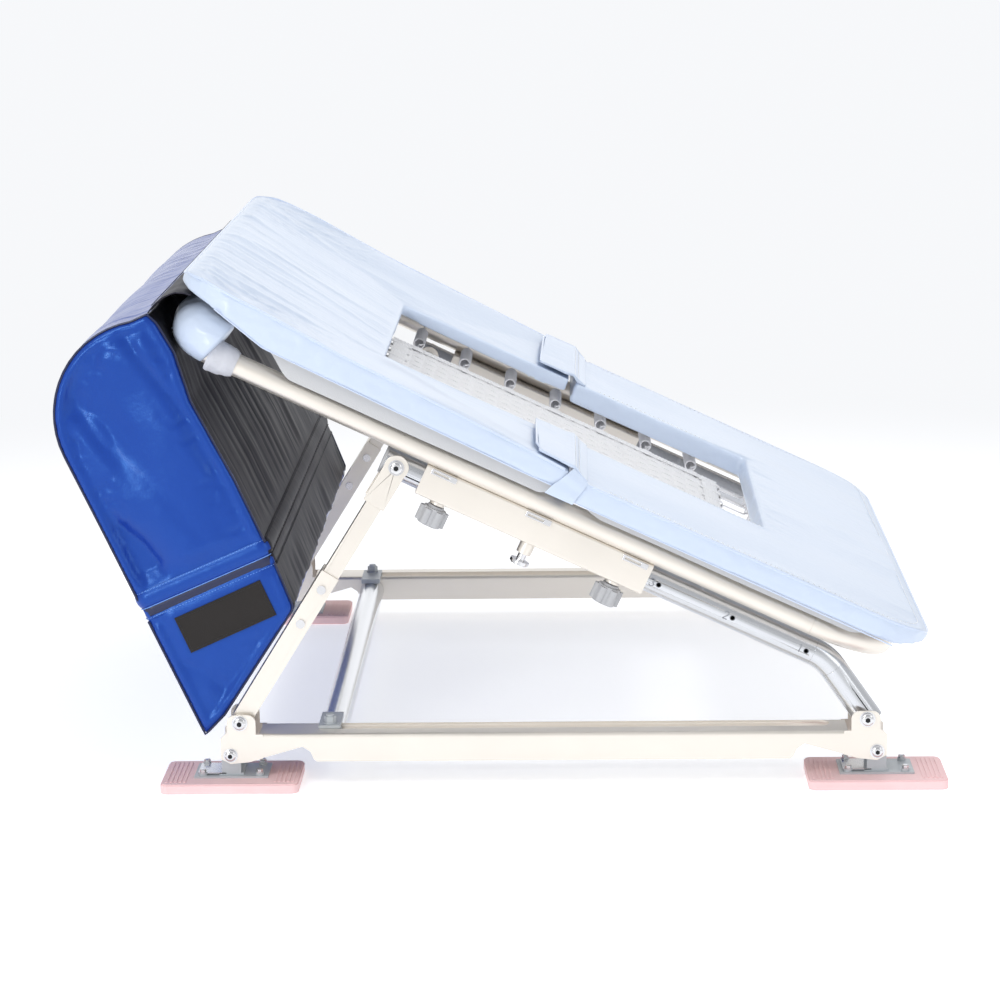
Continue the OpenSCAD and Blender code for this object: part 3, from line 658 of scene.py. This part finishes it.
def bed():
    web, edge, thread = Shape(), Shape(), Shape()
    mid = sum(BED_S) / 2
    rows, columns = range(-11, 12), range(-12, 13)
    for i in rows:
        s = np.arange(mid - 302, mid + 302.1, PITCH / 6)
        lift = 1.15 * (-1) ** i * np.cos(math.pi * (s - mid) / PITCH)
        web.strip(np.column_stack([s, 0 * s + i * PITCH, BED_N + lift]), (0, 0, 1), 21.6, 1.3)
    for k in columns:
        y = np.arange(-276, 276.1, PITCH / 6)
        lift = -1.15 * (-1) ** k * np.cos(math.pi * y / PITCH)
        web.strip(np.column_stack([0 * y + mid + k * PITCH, y, BED_N + lift]), (0, 0, 1), 21.6, 1.3)
    piece("bed_woven_web", web, "bed", "bed_webbing", deck, replaces=["bed_web"])
    inset = 15.0
    s0, s1, y1 = BED_S[0] + inset, BED_S[1] - inset, BED_Y - inset
    corners = [(s0, -y1), (s1, -y1), (s1, y1), (s0, y1)]
    for k in range(4):
        (a, b), (c, d) = corners[k], corners[(k + 1) % 4]
        over = inset * np.sign([c - a, d - b]) * (1 if k % 2 == 0 else 0.96)
        ends = [(a - over[0], b - over[1]), (c + over[0], d + over[1])]
        for level, thick in ((2.9 + 0.15 * (k % 2), 1.6), (-2.9, 1.6)):
            path = resample(np.column_stack([ends, [BED_N + level] * 2]), 10)
            edge.strip(path, (0, 0, 1), 29.0, thick)
        out = np.array([(0, -1, 0), (1, 0, 0), (0, 1, 0), (-1, 0, 0)][k])
        for offset in (-11.0, -6.0, 8.5, 12.0):
            path = np.column_stack([ends, [BED_N + 3.9] * 2]) + out * offset
            thread.stitches(path, (0, 0, 1), 6.5, 4.2, 0.4)
    piece("bed_edge_band", edge, "bed", "bed_webbing", deck, replaces=["bed_hem"])
    piece("bed_stitches", thread, "bed", "bed_webbing", deck, [THREAD])
    tabs = Shape()
    for origin, out, _ in spring_places():
        path = resample([origin + np.array(out) * far + np.array([0, 0, up]) for far, up in TAB], 3)
        sideways = np.cross(out, [0, 0, 1])
        tabs.strip(path, np.cross(sideways, directions(path, False)), 17, 1.4)
    piece("bed_spring_tabs", tabs, "bed", "bed_webbing", deck)


def spread(a, b, count):
    return [a + (b - a) * (k + 0.5) / count for k in range(count)]


def spring_places(which=("left", "right", "low", "high")):
    """Where each spring leaves the bed's edge: origin, outward direction and sideways direction."""
    found = []
    for s in spread(*BED_S, 7):
        if "left" in which:
            found.append((np.array([s, -BED_Y, BED_N]), (0, -1, 0), (1, 0, 0)))
        if "right" in which:
            found.append((np.array([s, BED_Y, BED_N]), (0, 1, 0), (1, 0, 0)))
    for y in spread(-BED_Y, BED_Y, 8):
        if "low" in which:
            found.append((np.array([BED_S[1], y, BED_N]), (1, 0, 0), (0, 1, 0)))
        if "high" in which:
            found.append((np.array([BED_S[0], y, BED_N]), (-1, 0, 0), (0, 1, 0)))
    return found


def spring_line(length):
    """Centreline of one spring from the bed's edge to the frame's tube: (outward, sideways, up)."""
    coil, r, turns, steps = 128.0, 9.4, 31, 14
    start = (length - coil) / 2
    hook = np.radians(np.linspace(-200, 0, 9))[:-1]
    points = [(3.5 + 5.5 * math.cos(a), 0, 5.5 * math.sin(a)) for a in hook]
    points += [(9.5, 0, 0), (start - 16, 0, 0), (start - 9, 0, 0)]
    points += [(start - 6, r * 0.35, 0), (start - 3, r * 0.8, r * 0.3)]
    for k in range(turns * steps + 1):
        a = 2 * math.pi * k / steps + 0.35
        points.append((start + coil * k / (turns * steps), r * math.cos(a), r * math.sin(a)))
    end = start + coil
    points += [(end + 3, r * 0.8, r * 0.5), (end + 6, r * 0.3, r * 0.2), (end + 10, 0, 0), (end + 18, 0, 0.5)]
    points += [(length + 17.5 - 18.6 * math.cos(a), 0, 18.6 * math.sin(a))
               for a in np.linspace(math.radians(12), math.radians(62), 8)]
    points += [(length + 9.5, 0, 13.0)]
    return np.array(points)


def springs():
    lengths = {"left": 275.0, "right": 275.0, "low": 237.0, "high": 272.0}
    for which, length in lengths.items():
        shape, line = Shape(), spring_line(length)
        for origin, out, side in spring_places((which,)):
            shape.tube(origin + line @ np.array([out, side, (0, 0, 1)]), 1.6, 6)
        made = piece("springs_" + which + "_coils", shape, None, "spring_steel", deck,
                     replaces=["springs_" + which])
        origin, out, _ = spring_places((which,))[0]
        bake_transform(made)


bed()
springs()

# ---- wedge ----
WEDGE_Y = 589.0
ARC = [(-609 + 148 * math.cos(a), 584 + 148 * math.sin(a)) for a in np.radians(np.arange(100, 206, 7.5))]
OUTLINE = np.array([(-609, 741)] + ARC + [(-539, 80), (-508, 112), (-396, 281), (-429, 366), (-481, 482),
                                          (-546, 607), (-569, 682), (-595, 728)])
FIRST_INNER = len(ARC) + 3
SEAM_A = np.array([-800.0, 207.0])
SEAM_DIR, SEAM_UP = np.array([0.91835, 0.39577]), np.array([-0.39577, 0.91835])
SEAM_SPAN = (183.6, 403.6)
# The blank patch: a point below its corner, its slope, and its middle and half size along and up from there
PATCH_AT, PATCH_TURN, PATCH_MID, PATCH_HALF = (-582, 270), math.radians(24), (73, -32), (73, 30)


def outline_distance(x, z):
    """Distance to the wedge's outline and the number of its nearest edge."""
    point = np.column_stack([x, z])
    best, edge = np.full(len(x), 1e9), np.zeros(len(x), int)
    for k in range(len(OUTLINE)):
        a, b = OUTLINE[k], OUTLINE[(k + 1) % len(OUTLINE)]
        t = np.clip(((point - a) @ (b - a)) / ((b - a) @ (b - a)), 0, 1)
        d = np.linalg.norm(point - a - t[:, None] * (b - a), axis=1)
        edge[d < best] = k
        best = np.minimum(best, d)
    return best, edge


def seam_height(x, z):
    return (x - SEAM_A[0]) * SEAM_UP[0] + (z - SEAM_A[1]) * SEAM_UP[1]


def seam_distance(points):
    """How far points are along the seam's line, towards the inner face."""
    return (points[:, 0] - SEAM_A[0]) * SEAM_DIR[0] + (points[:, 2] - SEAM_A[1]) * SEAM_DIR[1]


def patch_place(x, z):
    """A side point's place along and up from the blank patch's middle."""
    dx, dz = x - PATCH_AT[0], z - PATCH_AT[1]
    cos, sin = math.cos(PATCH_TURN), math.sin(PATCH_TURN)
    return dx * cos + dz * sin - PATCH_MID[0], dz * cos - dx * sin - PATCH_MID[1]


def wedge_relief(points, normals):
    x, y, z = points.T
    distance, edge = outline_distance(x, z)
    height = seam_height(x, z)
    calm = fade(np.abs(height), 22, 60)
    side = np.clip(np.abs(normals[:, 1]) * 2 - 1, 0, 1)
    u, v = x * 0.80 + z * 0.60, -x * 0.60 + z * 0.80
    puff = 7.0 * fade(distance, 4, 70) - 2.5
    size = np.where(height > 0, 1.0, 0.45)
    dents = 15.0 * noise(u / 105, v / 230, np.sign(y) * 3, 101, 2) * size
    creases = -8.0 * folds(u / 70, v / 300, np.sign(y) * 5, 111, 2, 1.9, 0.25) * size
    pinches = -4.5 * (1 - fade(distance, 12, 70)) * folds(u / 34, v / 30, np.sign(y) * 7, 121, 2, 1.8, 0.3)
    rim = 4.6 * np.exp(-((distance - 10) / 6) ** 2)
    face = (puff + dents + creases + pinches * size) * fade(distance, 3, 34) * calm
    face = np.clip(face, -13, 11) + rim * fade(np.abs(height), 22, 40)
    along, up = patch_place(x, z)
    beyond = np.hypot(np.maximum(np.abs(along) - PATCH_HALF[0], 0), np.maximum(np.abs(up) - PATCH_HALF[1], 0))
    face = np.where(y < 0, 3.9 + (face - 3.9) * fade(beyond, 3, 26), face)
    end = fade(WEDGE_Y - np.abs(y), 2, 30)
    inner = edge >= FIRST_INNER
    gathers = 2.0 * noise(y / 40, z / 520 + x / 900, 0 * x, 131, 2)
    gathers -= 1.6 * folds(y / 52, z / 460, 0 * x, 133, 1, 1.8, 0.3)
    gathers += 0.25 * noise(y / 11, z / 300, 0 * x, 135, 2)
    back = 2.6 * noise(y / 170, z / 190, x / 190, 141, 2)
    back += 0.9 * folds(y / 30, z / 260, x / 260, 145, 2, 1.6)
    back += 0.8 * fade(z, 640, 735) * folds(y / 16, z / 200, x / 200, 149, 2, 1.6)
    around = np.where(inner, gathers, back) * end * calm
    return points + normals * (face * side + around * (1 - side))[:, None]


def inner_face(centre, normal):
    """The wedge's inner face gets its dark cloth."""
    x, y, z = centre.T
    distance, edge = outline_distance(x, z)
    return ((edge >= FIRST_INNER) & (np.abs(y) < WEDGE_Y - 5) & (distance < 30)).astype(int)


for node in ("wedge_upper", "wedge_lower"):
    cover = soft_copy(node + "_cover", node, 4.5, 5, base, base_from, wedge_relief, "wedge", "wedge_vinyl",
                      [LOOKS["wedge_vinyl"], LOOKS["wedge_dark"]], inner_face)


def seam_loop(out, step=6.0, corner=14.0):
    """A loop round the wedge in the seam's plane, out beyond its faces: points and outward directions."""
    t0, t1, y1 = SEAM_SPAN[0] - out, SEAM_SPAN[1] + out, WEDGE_Y + out
    corners = ((t1 - corner, y1 - corner, 0), (t0 + corner, y1 - corner, 90),
               (t0 + corner, corner - y1, 180), (t1 - corner, corner - y1, 270))
    points = np.array([(s + corner * math.cos(a), y + corner * math.sin(a), 0) for s, y, start in corners
                       for a in np.radians(np.linspace(start, start + 90, 7))])
    flat = resample(points, step, True)
    along = directions(flat, True)
    line = np.column_stack([SEAM_A[0] + flat[:, 0] * SEAM_DIR[0], flat[:, 1],
                            SEAM_A[1] + flat[:, 0] * SEAM_DIR[1]])
    return line, np.column_stack([along[:, 1] * SEAM_DIR[0], -along[:, 0], along[:, 1] * SEAM_DIR[1]])


def seam():
    up = np.array([SEAM_UP[0], 0, SEAM_UP[1]])

    def band(shape, out, h0, h1, thick, mark=0):
        line, looks = seam_loop(out)
        middle = line + up * (h0 + h1) / 2
        half = (h1 - h0) / 2
        corners = [(-half, 0), (-half + 0.8, thick), (half - 1.5, thick), (half, 0), (half, -3), (-half, -3)]
        shape.loft(np.stack([middle + up * a + looks * b for a, b in corners], axis=1), True, mark)

    hem, tape, thread = Shape(), Shape(), Shape()
    line, looks = seam_loop(0.8)
    bulge = [line + up * (1 + 26 * k) + looks * 4.2 * math.sin(math.pi * k) ** 0.7
             for k in np.linspace(0, 1, 9)]
    hem.loft(np.stack(bulge + [line + up * 27 - looks * 4, line + up - looks * 4], axis=1), True)
    band(hem, 0.3, -19.0, -13.0, 1.3)
    band(tape, 0.3, -14.0, 1.5, 0.9)
    line, looks = seam_loop(2.0)
    hem.tube(line + up * 0.6, 0.7, 6, True, 1)
    ribs_at = SEAM_SPAN[1] + 3
    front = np.array([SEAM_A[0] + ribs_at * SEAM_DIR[0], 0, SEAM_A[1] + ribs_at * SEAM_DIR[1]])
    for k, y in enumerate(np.arange(-571, 572, 8.5)):
        rib = front + [0, y, 0] + up * (3.5 + 0.8 * (k % 3))
        hem.tube([rib, rib + up * 9, rib + up * (17 - 1.2 * (k % 2))], (0.6, 1.3, 0.6), 5)
    thread.stitches(line + up * 25.5, looks, 5.0, 3.0, 0.4, True)
    thread.stitches(line + up * -16.0, looks, 5.0, 3.0, 0.4, True)
    for shape in (hem, tape, thread):
        points = np.vstack(shape.points)
        middle = np.array([points[face].mean(axis=0) for face in shape.faces])
        inside = (seam_distance(middle) > 399) & (np.abs(middle[:, 1]) < WEDGE_Y - 3)
        shape.marks = [2 if found else mark for found, mark in zip(inside, shape.marks)]
    dark = LOOKS["wedge_dark"]
    piece("wedge_seam_bands", hem, "wedge", "wedge_vinyl", base, [LOOKS["wedge_vinyl"], BLUE_THREAD, dark])
    piece("wedge_zip_tape", tape, "wedge", "wedge_dark", base, [NAVY, NAVY, dark], replaces=["wedge_zip"])
    piece("wedge_seam_stitches", thread, "wedge", "wedge_vinyl", base, [BLUE_THREAD, BLUE_THREAD, dark])


seam()


def wedge_edges():
    """Bound edges where the side panels meet the faces that run across."""
    binding = Shape()
    for side in (-1, 1):
        ring = resample([(x, side * (WEDGE_Y - 0.8), z) for x, z in OUTLINE], 9, True)
        keep = np.abs(seam_height(ring[:, 0], ring[:, 2])) > 12
        ring[:, [0, 2]] += unit(np.array([-560, 450]) - ring[:, [0, 2]]) * 1.5
        run = []
        for k in np.roll(np.arange(len(ring)), -int(np.argmin(keep))):
            if keep[k]:
                run.append(ring[k])
            elif len(run) > 3:
                binding.tube(run, 2.0, 6)
                run = []
        if len(run) > 3:
            binding.tube(run, 2.0, 6)
    piece("wedge_bindings", binding, "wedge", "wedge_vinyl", base, [NAVY])


wedge_edges()


def wedge_patch():
    shape, thread = Shape(), Shape()
    cos, sin = math.cos(PATCH_TURN), math.sin(PATCH_TURN)
    along, up = np.array([cos, 0, sin]), np.array([-sin, 0, cos])
    centre = np.array([PATCH_AT[0], -WEDGE_Y - 5.0, PATCH_AT[1]]) + along * PATCH_MID[0] + up * PATCH_MID[1]
    shape.block(centre, (2 * PATCH_HALF[0], 2.4, 2 * PATCH_HALF[1]), along, up)
    x, z = along * (PATCH_HALF[0] - 4), up * (PATCH_HALF[1] - 4)
    corners = [centre + corner + [0, -1.3, 0] for corner in (-x - z, x - z, x + z, z - x)]
    for k in range(4):
        thread.stitches([corners[k], corners[(k + 1) % 4]], (0, -1, 0), 5.0, 3.2, 0.35)
    piece("wedge_blank_patch", shape, "wedge", "wedge_dark", base, [PATCH], smooth=False,
          replaces=["wedge_patch"])
    piece("wedge_patch_stitches", thread, "wedge", "wedge_dark", base, [INK])


wedge_patch()


def wedge_flap():
    """The sheet that runs from the wedge's upper edge over the roll."""
    across = np.linspace(-WEDGE_Y + 2, WEDGE_Y - 2, 170)
    line = resample([(-608, 0, 741.5), (-600, 0, 752), (-585, 0, 765), (-567, 0, 772.5), (-551, 0, 771.5),
                     (-541, 0, 768)], 5)
    along = directions(line, False)
    out = np.column_stack([-along[:, 2], 0 * along[:, 0], along[:, 0]])
    rings = []
    for y in across:
        drop = np.linspace(0.2, 1, len(line))
        wave = 1.3 * math.sin(y / 17) * math.sin(y / 61 + 1) * drop - 0.6
        top = line + out * (1.0 + wave)[:, None] + [0, y, 0]
        low = line + out * (-1.0 + wave)[:, None] + [0, y, 0]
        rings.append(np.vstack([top, low[::-1]]))
    shape, thread = Shape(), Shape()
    shape.loft(rings)
    drape = piece("wedge_drape", shape, "wedge", "black_webbing", base, [LOOKS["wedge_dark"]],
                  replaces=["wedge_flap"])
    thread.stitches([(-601, y, 753.4) for y in across], (-0.6, 0, 0.8), 9.0, 5.5, 0.5)
    dashes = piece("wedge_drape_stitches", thread, "wedge", "black_webbing", base, [INK])


wedge_flap()


# ---- hardware detail ----
def bolt_faces():
    """Washers and domed heads on the outer ends of the cross bolts, each with a near-black disc of painted
    shade for its socket.
    """
    bright, shade_discs = Shape(), Shape()
    foot, ear, leg, slope = (500, 51), (484.6, 102), 470, math.radians(57.9)
    places = [(-foot[0], 606.0, foot[1], 9.0), (foot[0], 606.0, foot[1], 9.0)]
    places += [(-ear[0], 606.0, ear[1], 10.0), (ear[0], 606.0, ear[1], 10.0)]
    places += [(leg * math.cos(slope) - ear[0], 596.0, ear[1] + leg * math.sin(slope), 10.0)]
    for side in (-1, 1):
        for x, y, z, r in places:
            centre = (x, side * y, z)
            washer = [(r + 2.2, -6.2), (r + 2.2, -5.0), (r, -5.0)]
            dome = [(r, -1), (r * 0.86, 1.2), (r * 0.5, 2.0), (0, 2.1)]
            bright.lathe(washer + dome, centre, (0, side, 0), 28)
            # Painted shade: a dark disc on top of each dome stands in for the socket; no hole is cut.
            shade_discs.lathe([(r * 0.42, 1.0), (r * 0.42, 2.35), (0, 2.36)], centre, (0, side, 0), 6)
    piece("bolt_heads", bright, "base", "bolt_steel", base)
    piece("bolt_socket_painted_shade", shade_discs, "base", "bolt_steel", base, [BOLT_SOCKET_SHADE], smooth=False)


bolt_faces()


def foot_details():
    """A bright clamp plate with a bolt on each bracket, and grip ribs on each block."""
    for high in (True, False):
        for side, word in ((-1, "left"), (1, "right")):
            bright, ribs, bolts = Shape(), Shape(), Shape()
            x0 = -500.0 if high else 500.0
            y0 = side * 569.0
            body = "foot_" + ("high" if high else "low") + "_" + word
            for k in range(5):
                for end in (-1, 1):
                    ribs.block((x0 + end * (70 + 7 * k), y0, 15.3), (3.4, 112, 1.6))
            bright.block((x0 - 30, side * 564, 20.4), (44, 58, 2.2))
            for dx, dy in ((-44, -30), (-44, 30), (44, -30), (44, 30)):
                bolts.lathe([(6.4, 0), (6.4, 1.4), (5.2, 1.4), (5.2, 5.2), (4.0, 6.2), (0, 6.3)],
                            (x0 + dx, side * 564 + dy, 21.6), (0, 0, 1), 6)
            piece(body + "_ribs", ribs, body, "foot_rubber", base, smooth=False)
            piece(body + "_plate", bright, body, "bright_tube", base, smooth=False)
            piece(body + "_studs", bolts, body, "bolt_steel", base, smooth=False)


foot_details()


def digits():
    """Position numbers painted on the outer face of each slide tube, beside the holes, with a grey ring of
    painted shade round each hole.
    """
    strokes = {
        "1": [[(-2, 4.6), (0.8, 7), (0.8, -7)]],
        "2": [[(-4, 3.6), (-2.6, 6.3), (0.4, 7.2), (3.2, 6.0), (4, 3.4), (2.6, 0.6), (-4, -7), (4.4, -7)]],
        "3": [[(-4, 5), (-1.8, 7), (1.6, 7), (3.8, 5), (3.4, 1.8), (0.2, 0.4), (3.6, -1.2), (4.2, -4.4),
               (1.8, -6.9), (-1.8, -7), (-4.2, -5)]],
    }
    shape, rim = Shape(), Shape()

    radius, tube_y, tube_n = 21.52, 564, -103.5

    def paint(shape, s, v, side, width, closed=False):
        """A thin line on a tube's outer side, v millimetres up round it."""
        out = np.column_stack([0 * v, side * np.cos(v / 21.5), np.sin(v / 21.5)])
        axis = np.column_stack([s, 0 * v + side * tube_y, 0 * v + tube_n])
        shape.strip(axis + radius * out, out, width, 0.2, closed)

    for side in (-1, 1):
        for text, s0 in (("3", 221.0), ("2", 346.0), ("1", 471.0)):
            for stroke in strokes[text]:
                path = resample([(u, v, 0) for u, v in stroke], 1.0)
                paint(shape, s0 - 2 - side * 0.85 * path[:, 0], 0.9 * path[:, 1], side, 1.8)
            # Painted shade: a thin grey ring round each hole's edge.
            turn = np.linspace(0, 2 * math.pi, 24, endpoint=False)
            paint(rim, s0 + 9 + 4.0 * np.cos(turn), 4.0 * np.sin(turn), side, 1.0, True)
    piece("tube_digits", shape, "base", "bright_tube", deck, [DIGIT_PAINT_AND_HOLE_SHADE])
    piece("tube_hole_rim_shade", rim, "base", "bright_tube", deck, [DIGIT_PAINT_AND_HOLE_SHADE])


digits()

# ---- studio ----
FLOOR = 60.0
floor_mesh = bpy.data.meshes.new("floor")
corners = [(FLOOR * x, FLOOR * y, -0.001) for x, y in ((-1, -1), (1, -1), (1, 1), (-1, 1))]
floor_mesh.from_pydata(corners, [], [(0, 1, 2, 3)])
floor = bpy.data.objects.new("floor", floor_mesh)
ground = material("floor", (0.88, 0.885, 0.9, 1.0), 0.7, gloss=0.1)
ground.node_tree.nodes["Principled BSDF"].inputs["Emission Color"].default_value = (0.97, 0.98, 1.0, 1.0)
ground.node_tree.nodes["Principled BSDF"].inputs["Emission Strength"].default_value = 0.48
floor_mesh.materials.append(ground)
scene.collection.objects.link(floor)


def far_glow(made, color):
    """Far from the object the floor turns into the even colour of the horizon."""
    nodes, links = made.node_tree.nodes, made.node_tree.links
    place, distance = nodes.new("ShaderNodeTexCoord"), nodes.new("ShaderNodeVectorMath")
    distance.operation = "LENGTH"
    links.new(place.outputs["Object"], distance.inputs[0])
    blend = nodes.new("ShaderNodeMapRange")
    blend.interpolation_type = "SMOOTHSTEP"
    blend.inputs["From Min"].default_value = 0.8
    blend.inputs["From Max"].default_value = 3.2
    links.new(distance.outputs["Value"], blend.inputs["Value"])
    glow, mix = nodes.new("ShaderNodeEmission"), nodes.new("ShaderNodeMixShader")
    glow.inputs["Color"].default_value = color
    links.new(blend.outputs["Result"], mix.inputs[0])
    links.new(nodes["Principled BSDF"].outputs[0], mix.inputs[1])
    links.new(glow.outputs[0], mix.inputs[2])
    links.new(mix.outputs[0], nodes["Material Output"].inputs["Surface"])


far_glow(ground, (0.93, 0.94, 0.96, 1.0))
world = bpy.data.worlds.new("studio")
world.use_nodes = True
sky, sky_links = world.node_tree.nodes, world.node_tree.links
sky["Background"].inputs["Color"].default_value = (0.975, 0.985, 1.0, 1.0)
sky_place, sky_parts, sky_fall = (sky.new("ShaderNodeTexCoord"), sky.new("ShaderNodeSeparateXYZ"),
                                  sky.new("ShaderNodeMapRange"))
sky_fall.inputs["From Min"].default_value = 0.02
sky_fall.inputs["From Max"].default_value = 0.5
sky_fall.inputs["To Min"].default_value = 0.95
sky_fall.inputs["To Max"].default_value = 0.58
sky_links.new(sky_place.outputs["Generated"], sky_parts.inputs[0])
sky_links.new(sky_parts.outputs["Z"], sky_fall.inputs["Value"])
sky_links.new(sky_fall.outputs["Result"], sky["Background"].inputs["Strength"])
scene.world = world
scene.view_settings.view_transform = "Standard"


def softbox(name, place, target, size, power):
    light = bpy.data.lights.new(name, "AREA")
    light.shape = "RECTANGLE"
    light.size, light.size_y = size
    light.energy = power
    lamp = bpy.data.objects.new(name, light)
    lamp.location = place
    lamp.rotation_euler = (Vector(target) - Vector(place)).to_track_quat("-Z", "Y").to_euler()
    lamp.visible_camera = False
    scene.collection.objects.link(lamp)


softbox("key", (-2.6, -3.2, 3.6), (0, 0, 0.4), (2.4, 1.6), 66)
softbox("fill", (3.4, -2.6, 2.2), (0, 0, 0.4), (2.0, 2.0), 16)
softbox("top", (1.7, 0.5, 4.0), (0, 0, 0.5), (1.4, 1.4), 46)
softbox("strip", (-2.1, -4.2, 1.0), (-0.5, -0.6, 0.45), (0.5, 1.4), 26)
softbox("rear", (-0.8, 7.5, 2.2), (-0.3, 0, 0.6), (8.0, 3.6), 42)

camera = bpy.data.cameras.new("camera")
camera.lens, camera.sensor_width = 118.41, 36.0
eye = bpy.data.objects.new("camera", camera)
yaw, pitch, tilt = 0.0247797, 0.1935345, -0.0131850
ahead = Vector((-math.sin(yaw) * math.cos(pitch), math.cos(yaw) * math.cos(pitch), -math.sin(pitch)))
right = Vector((math.cos(yaw), math.sin(yaw), 0))
up = right.cross(ahead)
right, up = right * math.cos(tilt) + up * math.sin(tilt), up * math.cos(tilt) - right * math.sin(tilt)
eye.matrix_world = Matrix((right, up, -ahead)).transposed().to_4x4()
eye.location = (0.1208, -5.5164, 1.4147)
scene.collection.objects.link(eye)
scene.camera = eye
